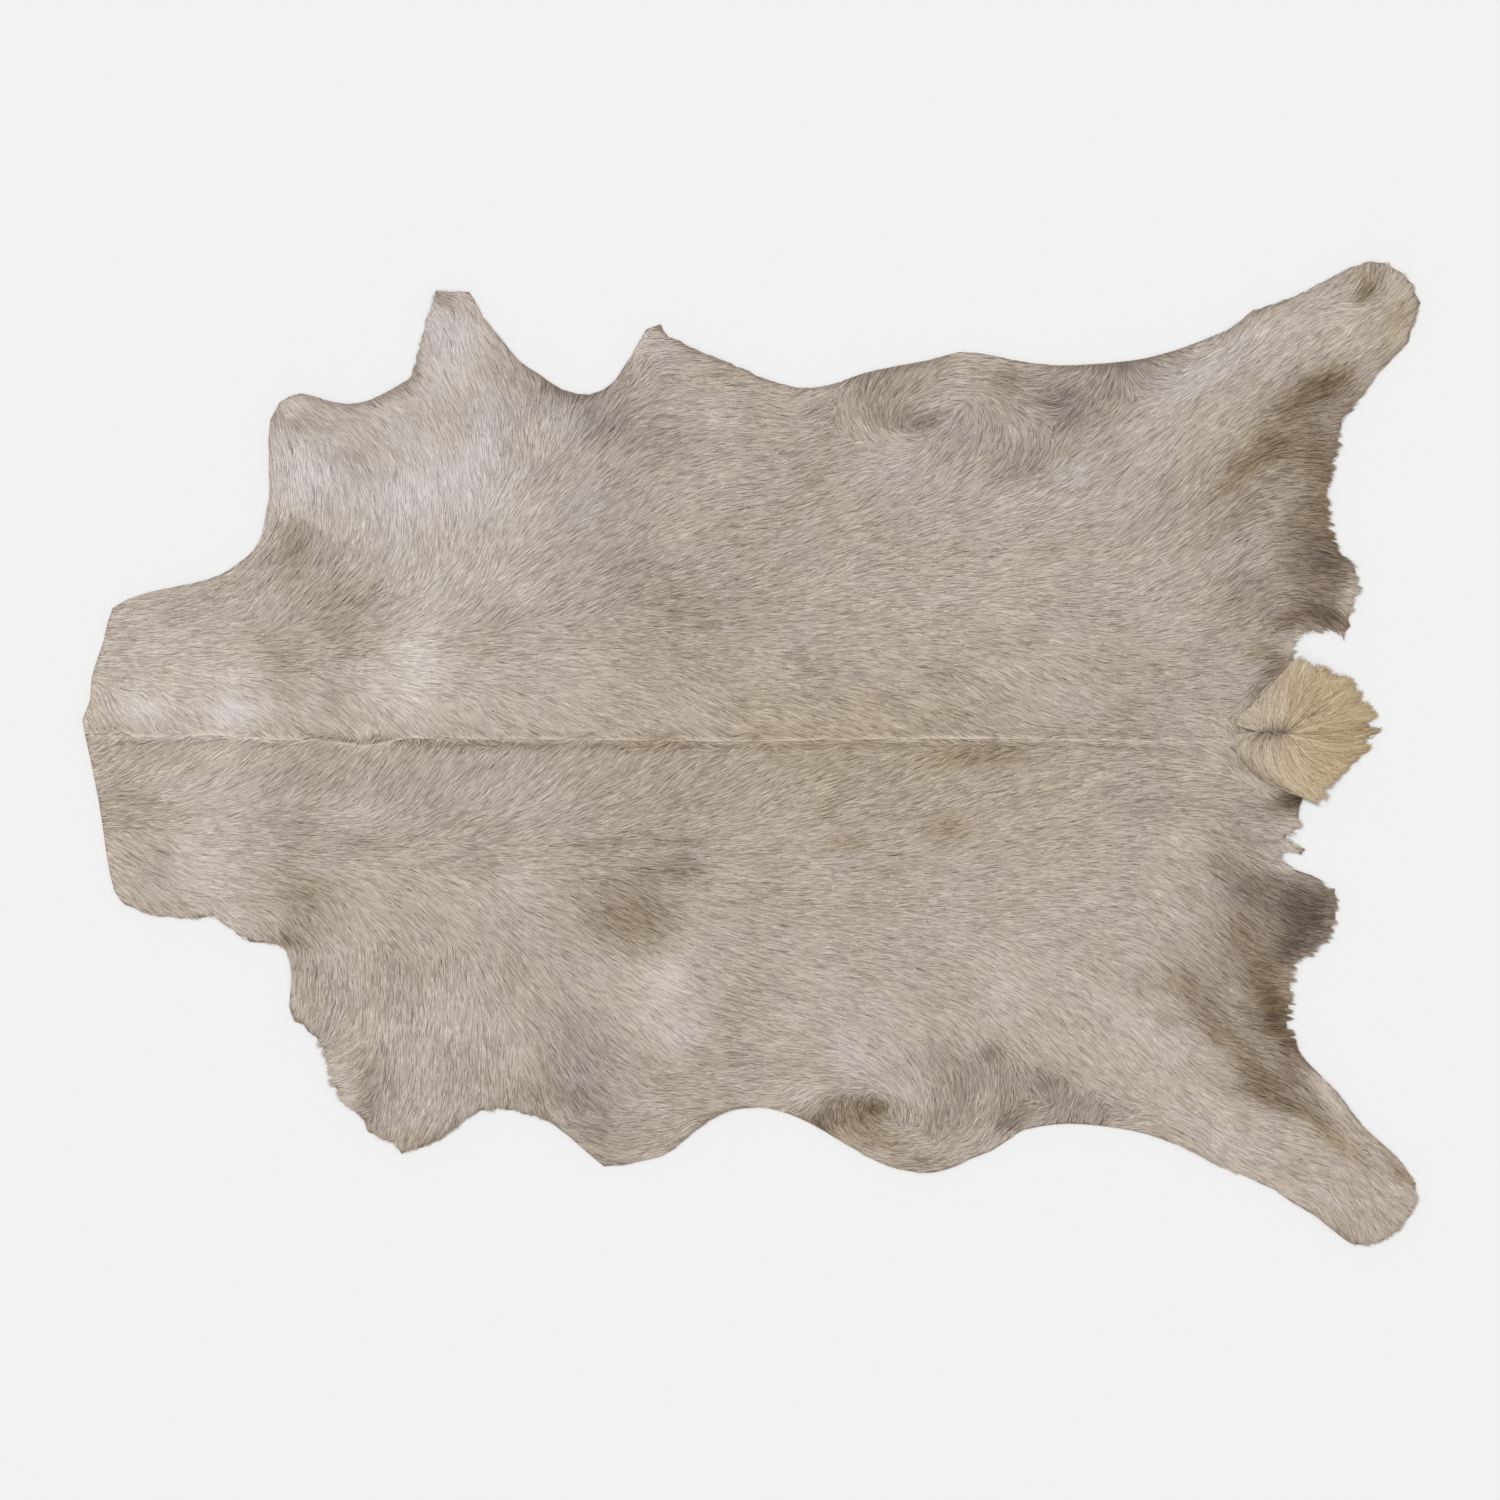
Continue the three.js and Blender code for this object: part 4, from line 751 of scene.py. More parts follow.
class Lay:
    """The coat's direction place by place

    It is blended as a line without a front end, at double the bearing, so that two streams which meet
    head on join smoothly. The plain blend only tells which end of the line is the tip.
    """

    def __init__(self, table):
        points = Grid.points(LAY_STEP)
        bearings = np.radians([entry[3] for entry in table])
        entries = [entry[:3] for entry in table]
        self.lines = Grid(LAY_STEP, blended(entries, points, arrows_of(2 * bearings)))
        self.fronts = Grid(LAY_STEP, blended(entries, points, arrows_of(bearings)))

    def at(self, places, front=None):
        """The way the hair points at each place, on the side of front where that is given"""
        doubled = self.lines.at(places)
        line = arrows_of(0.5 * np.arctan2(doubled[:, 1], doubled[:, 0]))
        front = self.fronts.at(places) if front is None else front
        return line * np.where((line * front).sum(axis=1) < 0, -1, 1)[:, None]


def underside_rim(node):
    """The outline of a CAD node's flat underside, in order, in the hide's plan"""
    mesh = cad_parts[node].data
    mesh.calc_loop_triangles()
    spots = np.array([vertex.co for vertex in mesh.vertices])
    _, same = np.unique(np.round(spots, SAME_PLACE_DIGITS), axis=0, return_inverse=True)
    same = same.ravel()
    floor_level = spots[:, 2].min() + LEVEL_TOLERANCE
    sides = set()
    for triangle in mesh.loop_triangles:
        corners = triangle.vertices
        if all(spots[corner][2] < floor_level for corner in corners):
            ring = [same[corner] for corner in corners]
            sides.update(zip(ring, ring[1:] + ring[:1]))
    following = {a: b for a, b in sides if (b, a) not in sides}
    place = {same[index]: spots[index][:2] for index in range(len(spots))}
    order = [min(following)]
    while following[order[-1]] != order[0]:
        order.append(following[order[-1]])
    return np.array([place[index] for index in order]) / METRE - PLAN_ZERO


def eased(ring, ragged):
    """The rim with the zigzag of its hairy stretches taken out"""
    smooth = (np.roll(ring, 1, axis=0) + 2 * ring + np.roll(ring, -1, axis=0)) / 4
    share = ramp(ragged.at(ring), TOOTHED[0], TOOTHED[1] - TOOTHED[0])[:, None]
    return ring + share * (smooth - ring)


class Rim:
    """The closed line round the hide, made of straight spans"""

    def __init__(self, ring):
        self.ring = ring
        self.ends = np.roll(ring, -1, axis=0)
        self.spans = self.ends - ring
        self.lengths = np.linalg.norm(self.spans, axis=1)
        self.begins = np.concatenate([[0], np.cumsum(self.lengths)[:-1]])
        self.length = self.begins[-1] + self.lengths[-1]

    def nearest(self, places):
        """The share of each span that lies nearest to each place, and the square of the gap"""
        offset = places[:, None, :] - self.ring
        share = np.clip((offset * self.spans).sum(axis=2) / self.lengths**2, 0, 1)
        gap = offset - share[..., None] * self.spans
        return share, (gap**2).sum(axis=2)

    def distance(self, places):
        """Distance from each place to the rim, above zero on the hide"""
        _, squares = self.nearest(places)
        along, across = places[:, None, 0], places[:, None, 1]
        above = (self.ring[:, 1] > across) != (self.ends[:, 1] > across)
        rise = np.where(self.spans[:, 1] == 0, 1, self.spans[:, 1])
        meets = self.ring[:, 0] + self.spans[:, 0] * (across - self.ring[:, 1]) / rise
        inside = (above & (along < meets)).sum(axis=1) % 2 == 1
        return np.where(inside, 1, -1) * np.sqrt(squares.min(axis=1))

    def run(self, places):
        """How far along the rim the nearest point to each place lies"""
        share, squares = self.nearest(places)
        span = squares.argmin(axis=1)
        return self.begins[span] + share[np.arange(len(places)), span] * self.lengths[span]

    def point(self, runs):
        """The point that lies so far along the rim"""
        closed = np.vstack([self.ring, self.ring[:1]])
        run = np.append(self.begins, self.length)
        return np.column_stack([np.interp(runs, run, closed[:, axis]) for axis in (0, 1)])

    def turning(self):
        """1 where the rim runs anticlockwise, -1 where it runs clockwise"""
        return np.sign(np.sum(self.ring[:, 0] * self.ends[:, 1] - self.ends[:, 0] * self.ring[:, 1]))


def in_batches(measure, places):
    """A measure of many places, worked out for BATCH of them at a time"""
    parts = [measure(places[first : first + BATCH]) for first in range(0, len(places), BATCH)]
    return np.concatenate(parts)


def distance_grid(rim):
    """Distance to the rim over the whole plan"""
    points = Grid.points(PATCH_STEP)
    distances = in_batches(rim.distance, points.reshape(-1, 2))
    return Grid(PATCH_STEP, distances.reshape(points.shape[:2]))


def ragged_grid():
    """Raggedness of the nearest rim over the whole plan"""
    entries = [(along, across, RAGGED_REACH) for along, across, _ in RAGGED]
    values = np.array([[ragged] for _, _, ragged in RAGGED])
    return Grid(LAY_STEP, blended(entries, Grid.points(LAY_STEP), values)[..., 0])


def shagginess(ragged):
    """0 at a cut edge, 1 at a shaggy one"""
    return ramp(ragged, SHAGGY_FROM[0], SHAGGY_FROM[1] - SHAGGY_FROM[0])


def patch_share(points, middle, long, wide, turn):
    """How much of a patch lies at each point: all in its middle, less outwards"""
    offset = points - np.array(middle)
    angle = math.radians(turn)
    run = (offset[..., 0] * math.cos(angle) + offset[..., 1] * math.sin(angle)) / long
    side = (offset[..., 1] * math.cos(angle) - offset[..., 0] * math.sin(angle)) / wide
    return np.exp(-PATCH_FALL * (run**2 + side**2) ** PATCH_POWER)


def coat_grid():
    """Tone and warmth of the coat, the tone with painted sheen and shade among its patches"""
    points = Grid.points(PATCH_STEP)
    tone = np.full(points.shape[:2], float(BASE_TONE))
    warmth = np.full(points.shape[:2], BASE_WARMTH)
    for along, across, long, wide, tone_step, *others in PATCHES:
        warmth_step, turn = (others + [0, 0])[:2]
        share = patch_share(points, (along, across), long, wide, turn)
        tone += tone_step * share
        warmth += warmth_step * share
    for form in TONE_LUMPS:
        tone += lumps(points, *form)
    warmth += lumps(points, *WARMTH_LUMPS)
    return Grid(PATCH_STEP, np.stack([tone, warmth], axis=-1))


def pile_grid(distance):
    """Height of the lying hair over the skin"""
    points = Grid.points(PATCH_STEP)
    rim = np.clip(distance.values / PILE_RIM_WIDTH, 0, 1)
    spine = SPINE_RIDGE * hump(points[..., 1], 0, SPINE_RIDGE_WIDTH)
    spine *= np.clip((SPINE_RIDGE_END - points[..., 0]) / SPINE_FADE, 0, 1)
    full = PILE * (1 + lumps(points, *PILE_LUMPS)) + spine
    return Grid(PATCH_STEP, full * between((PILE_AT_RIM, 1), rim))


def rim_locks(rim, lay, ragged):
    """The wisps round the rim: where each begins on it, how far it reaches and where its tip lies"""
    random = np.random.default_rng(WISP_SEED)
    pitches = random.uniform(*LOCK_PITCH, int(rim.length / LOCK_PITCH[0]))
    begins = np.concatenate([[0], np.cumsum(pitches)])
    begins = begins[begins < rim.length]
    middles = begins + 0.5 * np.diff(np.append(begins, rim.length))
    feet = rim.point(middles)
    ahead = rim.point(middles + 1) - feet
    outward = unit(ahead[:, ::-1] * np.array([1, -1])) * rim.turning()
    arrows = lay.at(feet)
    facing = np.maximum((arrows * outward).sum(axis=1), LEAST_FACING)
    room = ragged.at(feet)
    shaggy = shagginess(room)
    low, high = (between(ends, shaggy) for ends in zip(LOCK_REACH["cut"], LOCK_REACH["shaggy"]))
    reach = room * random.uniform(low, high)
    length = np.clip(reach / facing, -LOCK_LONGEST, LOCK_LONGEST)
    return {"begins": begins, "reach": reach, "tips": feet + arrows * length[:, None]}


def plan_of(ring, ragged):
    """All that the coat is grown from, worked out once for its pieces"""
    random = np.random.default_rng(CLUMP_SEED)
    rim = Rim(ring)
    distance = distance_grid(rim)
    lay = Lay(LAY)
    cells = (PLAN_SIZE / CLUMP_PITCH).astype(int) + 2
    return {
        "rim": rim,
        "distance": distance,
        "ragged": ragged,
        "lay": lay,
        "locks": rim_locks(rim, lay, ragged),
        "coat": coat_grid(),
        "pile": pile_grid(distance),
        "clumps": random.normal(size=(*cells, CLUMP_NUMBERS)),
    }


def joined_mesh(name, spots, faces, tone, warmth):
    """One object from arrays: spots in the hide's plan with heights, faces of three, and its palette"""
    mesh = bpy.data.meshes.new(name)
    mesh.vertices.add(len(spots))
    placed = np.column_stack([spots[:, :2] + PLAN_ZERO, spots[:, 2]]) * METRE
    mesh.vertices.foreach_set("co", placed.astype(np.float32).ravel())
    mesh.loops.add(faces.size)
    mesh.loops.foreach_set("vertex_index", faces.astype(np.int32).ravel())
    mesh.polygons.add(len(faces))
    mesh.polygons.foreach_set("loop_start", np.arange(0, faces.size, 3, dtype=np.int32))
    mesh.update(calc_edges=True)
    for label, values in (("tone", tone), ("warmth", warmth)):
        attribute = mesh.attributes.new(label, "FLOAT", "POINT")
        attribute.data.foreach_set("value", values.astype(np.float32))
    palette = mesh.uv_layers.new(name="OFBake")
    corners = faces.ravel()
    pairs = np.column_stack([tone[corners], warmth[corners]])
    pairs = np.clip(pairs, PALETTE_MARGIN, 1 - PALETTE_MARGIN)
    palette.data.foreach_set("uv", pairs.astype(np.float32).ravel())
    mesh.polygons.foreach_set("use_smooth", np.ones(len(faces), bool))
    mesh.validate()
    piece = bpy.data.objects.new(name, mesh)
    bpy.context.scene.collection.objects.link(piece)
    return piece


def strands(stations, half_widths, sideways, tones, warmths):
    """Flat strands from their stations, each (n, 3): a point at both ends, two points at the others"""
    count = len(stations[0])
    rows, tone_rows, warmth_rows = [], [], []
    for index, (station, half) in enumerate(zip(stations, half_widths)):
        if half is None:
            rows.append(station)
            tone_rows.append(tones[index])
            warmth_rows.append(warmths)
            continue
        for side in (-1, 1):
            rows.append(station + side * half[:, None] * sideways[index])
            tone_rows.append(tones[index] + side * STRAND_EDGE)
            warmth_rows.append(warmths + side * STRAND_EDGE)
    points_each = len(rows)
    spots = np.stack(rows, axis=1).reshape(-1, 3)
    pairs = [(first, first + 1) for first in range(1, points_each - 1, 2)]
    pattern = [(0, pairs[0][1], pairs[0][0])]
    for (left, right), (next_left, next_right) in zip(pairs, pairs[1:]):
        pattern += [(left, right, next_right), (left, next_right, next_left)]
    pattern.append((pairs[-1][0], pairs[-1][1], points_each - 1))
    starts = points_each * np.arange(count)[:, None, None]
    faces = (starts + np.array(pattern)[None]).reshape(-1, 3)
    tone, warmth = (
        np.clip(np.stack(part, axis=1).ravel(), RANGE_MARGIN, 1 - RANGE_MARGIN)
        for part in (tone_rows, warmth_rows)
    )
    return spots, faces, tone, warmth


def sideways_of(run, roll):
    """Unit vectors across a strand that runs along run, tipped by roll degrees"""
    flat = unit(run[:, :2])
    angle = np.radians(roll)
    return np.column_stack([-flat[:, 1] * np.cos(angle), flat[:, 0] * np.cos(angle), np.sin(angle)])


def rooted(middles, roots, distance):
    """Roots drawn in along their hairs until they lie on the hide"""
    room = distance.at(middles) - ROOT_INSET
    missing = ROOT_INSET - distance.at(roots)
    share = np.where(missing > 0, room / np.maximum(room + missing, LEAST), 1)
    return middles + share[:, None] * (roots - middles)


def spine_offset(places):
    """How far each place lies to the upper side of the spine's line"""
    line = np.interp(places[:, 0], [along for along, _ in SPINE], [across for _, across in SPINE])
    return places[:, 1] - line


def gathered_at_spine(roots, middles, tips, layer):
    """At the spine's line the upper hairs turn and end along it, the lower ones end just past it"""
    side, far = spine_offset(roots), spine_offset(tips)
    crossing = (side * far < 0) & (roots[:, 0] < SPINE_END)
    span = np.abs(side) + np.abs(far) + LEAST
    before = (np.abs(side) / span)[:, None]
    length = np.linalg.norm(tips - roots, axis=1)[:, None]
    bend = np.clip(before, *SPINE_BEND)
    along = length * np.array([[1.0, 0.0]])
    bent = roots + np.minimum(before, bend) * (tips - roots) + np.maximum(bend - before, 0) * along
    ends = roots + before * (tips - roots) + (1 - before) * along
    ends[:, 1] += SPINE_CREST * far - spine_offset(ends)
    upper = (crossing & (layer > SPINE_UPPER))[:, None]
    keep = np.minimum((np.abs(side) + SPINE_OVERLAP) / span, 1)
    keep = np.where(crossing, keep, 1)[:, None]
    middles = np.where(upper, bent, roots + keep * (middles - roots))
    return middles, np.where(upper, ends, roots + keep * (tips - roots))


def held_at_rim(random, roots, middles, tips, plan):
    """Hairs that come near the rim or pass it end in its wisps instead"""
    middles, tips = middles.copy(), tips.copy()
    distance, ragged, locks = plan["distance"], plan["ragged"], plan["locks"]
    passing = np.flatnonzero(distance.at(tips) < ragged.at(tips))
    run = in_batches(plan["rim"].run, tips[passing])
    lock = np.clip(np.searchsorted(locks["begins"], run, side="right") - 1, 0, len(locks["reach"]) - 1)
    root, middle, tip = roots[passing], middles[passing], tips[passing]
    root_gap = distance.at(root)
    reach = locks["reach"][lock] + END_SPREAD * ragged.at(tip) * random.uniform(-1, 1, len(tip))
    for _ in range(HOLD_ROUNDS):
        tip_gap = distance.at(tip)
        over = np.maximum(-reach - tip_gap, 0)
        keep = np.clip(1 - over / np.maximum(root_gap - tip_gap, LEAST), LEAST_KEPT, 1)[:, None]
        middle = root + keep * (middle - root)
        tip = root + keep * (tip - root)
    to_lock = locks["tips"][lock] - tip
    is_near = np.linalg.norm(to_lock, axis=1) < LOCK_GATHER * LOCK_LONGEST
    pull = LOCK_PULL * np.clip(locks["reach"][lock], 0, 1) * is_near
    shift = pull[:, None] * to_lock
    is_stray = random.uniform(0, 1, len(tip)) < STRAY_SHARE
    room = np.minimum(ragged.at(tip), STRAY_REACH)
    stray = is_stray * random.uniform(0, 1, len(tip)) * room
    tips[passing] = tip + shift + unit(tip - root) * stray[:, None]
    middles[passing] = middle + LOCK_BEND * shift
    return middles, tips


def clump_of(middles, plan):
    """Each hair's clump: its five random numbers and its middle"""
    cells = np.floor((middles - PLAN_LOW) / CLUMP_PITCH).astype(int)
    clump = plan["clumps"][cells[:, 0], cells[:, 1]]
    return clump, PLAN_LOW + (cells + 0.5 + CLUMP_SCATTER * clump[:, :2]) * CLUMP_PITCH


def lying_hairs(random, middles, layer, plan):
    """Where each hair starts, bends and ends in the plan, and its clump's random numbers"""
    count = len(middles)
    clump, centres = clump_of(middles, plan)
    turn = CLUMP_TURN * clump[:, 2] + HAIR_TURN * random.normal(size=count)
    length = HAIR_LENGTH * (1 + CLUMP_LENGTH * clump[:, 3]) * random.uniform(*EVENNESS, count)
    lay = plan["lay"]
    first = lay.at(middles)
    ahead = lay.at(middles + 0.5 * HAIR_LENGTH * first, first)
    length *= np.clip((first * ahead).sum(axis=1), SHORTEST_IN_SWIRL, 1)
    half = 0.5 * length[:, None]
    behind = lay.at(middles - 0.5 * half * first, first)
    ahead = lay.at(middles + 0.5 * half * first, first)
    roots = rooted(middles, middles - half * turned(behind, turn), plan["distance"])
    tips = middles + half * turned(ahead, turn)
    clump_tips = centres + CLUMP_REACH * half * lay.at(centres, first)
    tips += CLUMP_PULL * (clump_tips - tips)
    middles, tips = gathered_at_spine(roots, middles, tips, layer)
    middles, tips = held_at_rim(random, roots, middles, tips, plan)
    return roots, middles, tips, clump


def coat_stations(random, places, layer, plan):
    """The hairs' three stations with their heights: rooted on the skin, then up in the pile"""
    _, middles, tips = places
    count = len(middles)
    pile = plan["pile"].at(middles) * layer
    sunk = np.clip(-plan["distance"].at(tips) / DROOP_REACH, 0, 1)
    heights = [
        np.full(count, SKIN + ROOT_LIFT),
        SKIN + pile * random.uniform(*MIDDLE_RISE, count),
        (SKIN + pile * random.uniform(*TIP_RISE, count)) * (1 - DROOP * sunk),
    ]
    return [np.column_stack(station) for station in zip(places, heights)]


def painted_rim_shade(places, plan):
    """Painted shade on hair near the rim, for the shadow and the dark cut skin there, darker where the skin
    was cut straight
    """
    cut = 1 - shagginess(plan["ragged"].at(places))
    gap = np.maximum(plan["distance"].at(places), 0)
    return (RIM_PAINTED_SHADE + CUT_EDGE_PAINTED_SHADE * cut) * np.exp(-gap / RIM_SHADE_WIDTH)


def spine_line_and_shade(places):
    """The pale line along the spine, and painted shade on both its sides"""
    offset = spine_offset(places)
    tone = np.zeros(len(places))
    for band in SPINE_BANDS:
        tone += band["tone"] * hump(offset, band["offset"], band["width"])
    return tone * np.clip((SPINE_END + SPINE_FADE - places[:, 0]) / SPINE_FADE, 0, 1)


def coat_tones(random, places, clump, plan):
    """The tones at the hairs' three stations, and their warmth"""
    roots, middles, tips = places
    count = len(middles)
    coat = plan["coat"].at(middles)
    scatter = np.minimum(random.normal(size=count), LIGHTEST)
    # painted shade: a hair that ends near the rim is darkened as a whole
    tone = coat[:, 0] + painted_rim_shade(tips, plan) + CLUMP_TONE * clump[:, 4] + HAIR_TONE * scatter
    # painted shade at the root, with more near the rim; the tip lighter
    shades = (ROOT_PAINTED_SHADE + painted_rim_shade(roots, plan), 0, TIP_TONE)
    tones = [
        0.5 + (tone + shade + spine_line_and_shade(station)) / TONE_STEPS for station, shade in zip(places, shades)
    ]
    return tones, coat[:, 1] + HAIR_WARMTH * random.normal(size=count)


def coat_piece(name, start, end, seed, plan):
    """The hair that grows on one stretch of the hide"""
    random = np.random.default_rng(seed)
    low, high = PLAN_LOW[1], PLAN_LOW[1] + PLAN_SIZE[1]
    count = int((end - start) * (high - low) * HAIRS_PER_MM2)
    middles = random.uniform((start, low), (end, high), size=(count, 2))
    middles = middles[plan["distance"].at(middles) > ROOT_INSET]
    layer = random.uniform(0, 1, len(middles))
    roots, middles, tips, clump = lying_hairs(random, middles, layer, plan)

    kept = np.linalg.norm(tips - roots, axis=1) > SHORTEST_HAIR
    roots, middles, tips, clump, layer = (part[kept] for part in (roots, middles, tips, clump, layer))
    places = (roots, middles, tips)
    layer = between((LOWEST_LAYER, 1), layer)
    stations = coat_stations(random, places, layer, plan)
    roll = random.uniform(-HAIR_ROLL, HAIR_ROLL, len(roots))
    sideways = sideways_of(stations[2] - stations[0], roll)
    width = (HAIR_WIDTH + UNDER_WIDTH * (1 - layer)) * random.uniform(*EVENNESS, len(roots))
    tones, warmth = coat_tones(random, places, clump, plan)
    mesh_parts = strands(stations, [None, 0.5 * width, None], [None, sideways, None], tones, warmth)
    return joined_mesh(name, *mesh_parts)


def along_fan(sweep, share):
    """Where the fan's guide line for each sweep is after each share of its way"""
    spot = sweep * (len(FAN) - 1)
    cell = np.clip(np.floor(spot).astype(int), 0, len(FAN) - 2)
    part = (spot - cell)[:, None, None]
    guide = FAN[cell] * (1 - part) + FAN[cell + 1] * part
    root, through, tip = guide[:, 0], guide[:, 1], guide[:, 2]
    t = share[:, None]
    bend = 2 * through - 0.5 * (root + tip)
    return (1 - t) ** 2 * root + 2 * t * (1 - t) * bend + t**2 * tip


def fan_height(places, share, layer):
    """Height of the fan: it swells past the root and sinks to the floor behind the hide"""
    swell = FAN_SWELL * np.sin(math.pi * np.clip(share, 0, 1) ** FAN_EARLY) ** FAN_ROUND
    height = FAN_SEAT + between(FAN_LAYERS, layer) * swell
    sink = np.maximum(places[:, 0] - HIND_EDGE, 0) * FAN_SINK
    return np.maximum(height - sink * between(FAN_SINKS, layer), between(FAN_FLOOR, layer))


def fan_locks(random, sweep):
    """For each hair its lock's middle in the sweep, its reach and its tone"""
    lock = np.floor(sweep * FAN_LOCKS).astype(int)
    scatter = random.normal(size=FAN_LOCKS + 1)[lock] * FAN_SCATTER
    middle = (lock + 0.5 + scatter) / FAN_LOCKS
    reach = (1 - FAN_RAGGED * random.uniform(0, 1, FAN_LOCKS + 1))[lock]
    return middle, reach, random.normal(size=FAN_LOCKS + 1)[lock]


def fan_tone(random, middle, lock_tone):
    """Tone of each of the fan's hairs, from its middle's place: painted shade in a crease along the root,
    painted shadow on the root side and along the lower edge, a tan patch and a darker spot
    """
    x, y = middle[:, 0], middle[:, 1]
    tone = FAN_TONE + FAN_HAIR_TONE * random.normal(size=len(x)) + FAN_LOCK_TONE * lock_tone
    # painted shade in the crease along the fan's root line
    past = np.clip((np.abs(x - CREASE_SHADE["middle"]) - CREASE_SHADE["half"]) / CREASE_SHADE["fade"], 0, CREASE_SHADE["cap"])
    tone += CREASE_SHADE["tone"] * hump(y, CREASE_SHADE["across"], CREASE_SHADE["width"]) * np.exp(-(past**2))
    tone += TAN["tone"] * hump(y, TAN["across"], TAN["width"]) * ramp(x, TAN["from"], TAN["fade"])
    tone += SHADE["tone"] * hump(x, SHADE["along"], SHADE["long"]) * hump(y, SHADE["across"], SHADE["wide"])
    # painted shadow on the root side, then along the lower edge
    tone += ROOT_SHADE["tone"] * np.clip((ROOT_SHADE["to"] - x) / ROOT_SHADE["fade"], 0, 1)
    shadow_line = GROOVE_SHADOW["across"] + GROOVE_SHADOW["slope"] * (x - GROOVE_SHADOW["along"])
    return tone + GROOVE_SHADOW["tone"] * hump(y, shadow_line, GROOVE_SHADOW["width"])


def tail_piece():
    """The fan of longer hair at the tail, in locks that end in a ragged line"""
    random = np.random.default_rng(FAN_SEED)
    count = FAN_HAIRS
    sweep = random.uniform(0, 1, count)
    lock_middle, lock_reach, lock_tone = fan_locks(random, sweep)
    start = random.uniform(0, 1, count) ** FAN_CROWD * FAN_LAST_START
    span = FAN_HAIR_SHARE * random.uniform(*FAN_SPANS, count)
    end = np.minimum(start + span, lock_reach * random.uniform(*FAN_ENDS, count))
    start = np.minimum(start, end - FAN_SHORTEST)
    layer = random.uniform(0, 1, count)
    stations = []
    for part in FAN_STATIONS:
        share = start + (end - start) * part
        drawn = sweep + FAN_PULL * (lock_middle - sweep) * np.clip(share, 0, 1) ** FAN_GATHER
        drawn = np.clip(drawn + FAN_JITTER * random.normal(size=count) * (part > 0), 0, 1)
        places = along_fan(drawn, share)
        stations.append(np.column_stack([places, fan_height(places, share, layer)]))
    stations[0][:, 2] -= FAN_ROOT_DROP

    roll = random.uniform(-FAN_ROLL, FAN_ROLL, count)
    sideways = [None] + [sideways_of(stations[i + 1] - stations[i - 1], roll) for i in (1, 2)] + [None]
    half = 0.5 * FAN_WIDTH * random.uniform(*FAN_WIDTHS, count)
    middle = along_fan(sweep, 0.5 * (start + end))
    base = fan_tone(random, middle, lock_tone)
    # the root station is darkened by painted shade
    tones = [0.5 + (base + shade) / TONE_STEPS for shade in FAN_STATION_TONES]
    warmth = between(FAN_WARMTH, ramp(middle[:, 0], FAN_WARM_FROM, FAN_WARM_FADE))
    warmth += FAN_HAIR_WARMTH * random.normal(size=count)
    mesh_parts = strands(stations, [None, half, half * FAN_TAPER, None], sideways, tones, warmth)
    return joined_mesh("tail_fan", *mesh_parts)


def skin_edge(plan):
    """The skin's own outline, a little inside the line of the hair"""
    ring = plan["rim"].ring
    ahead = unit(np.roll(ring, -1, axis=0) - np.roll(ring, 1, axis=0))
    inward = np.column_stack([-ahead[:, 1], ahead[:, 0]])
    probe = plan["distance"].at(ring + RIM_PROBE * inward)
    tuck = SKIN_TUCK + RAGGED_TUCK * np.maximum(plan["ragged"].at(ring) - PLAIN_RAGGED, 0)
    return ring + (np.where(probe > 0, 1, -1) * tuck)[:, None] * inward


def skin_face(plan):
    """The skin's top as points in the plan and triangles"""
    random = np.random.default_rng(SKIN_SEED)
    distance = plan["distance"]
    edge = skin_edge(plan)
    filler = Grid.points(SKIN_PITCH).reshape(-1, 2)
    filler = filler + random.uniform(-SKIN_JITTER, SKIN_JITTER, filler.shape) * SKIN_PITCH
    filler = filler[distance.at(filler) > SKIN_PITCH * SKIN_MARGIN]
    flat = [tuple(point) for point in np.vstack([edge, filler])]
    loop = [(i, (i + 1) % len(edge)) for i in range(len(edge))]
    points, _, faces, _, _, _ = delaunay_2d_cdt(flat, loop, [], 1, WELD)
    points = np.array([tuple(point) for point in points])
    faces = np.array([face for face in faces if len(face) == 3])
    return points, faces[distance.at(points[faces].mean(axis=1)) > SKIN_TUCK / 2]


def skin_piece(plan):
    """The tanned skin: one sheet of even thickness with a flat flesh side"""
    points, faces = skin_face(plan)
    count = len(points)
    sides = dict.fromkeys(pair for a, b, c in faces for pair in ((a, b), (b, c), (c, a)))
    wall = []
    for a, b in sides:
        if (b, a) not in sides:
            wall += [(a, a + count, b + count), (a, b + count, b)]
    every = np.vstack([faces, faces[:, ::-1] + count, np.array(wall)])
    spots = np.vstack([np.column_stack([points, np.full(count, height)]) for height in (SKIN, 0)])
    used = np.unique(every)
    renumber = np.zeros(len(spots), int)
    renumber[used] = np.arange(len(used))
    spots, every = spots[used], renumber[every]
    cloud = 0.5 + lumps(spots[:, :2], *SKIN_LUMPS)
    return joined_mesh("skin", spots, every, cloud, np.full(len(spots), 0.5))


class Socket:
    """A shader socket whose arithmetic adds Math nodes"""

    def __init__(self, tree, link):
        self.tree = tree
        self.link = link

    def maths(self, operation, *values):
        return self.tree.node("ShaderNodeMath", {"operation": operation}, dict(enumerate(values)))

    def __add__(self, other):
        return self.maths("ADD", self, other)

    def __radd__(self, other):
        return self.maths("ADD", other, self)

    def __sub__(self, other):
        return self.maths("SUBTRACT", self, other)

    def __rsub__(self, other):
        return self.maths("SUBTRACT", other, self)

    def __mul__(self, other):
        return self.maths("MULTIPLY", self, other)

    def __rmul__(self, other):
        return self.maths("MULTIPLY", other, self)


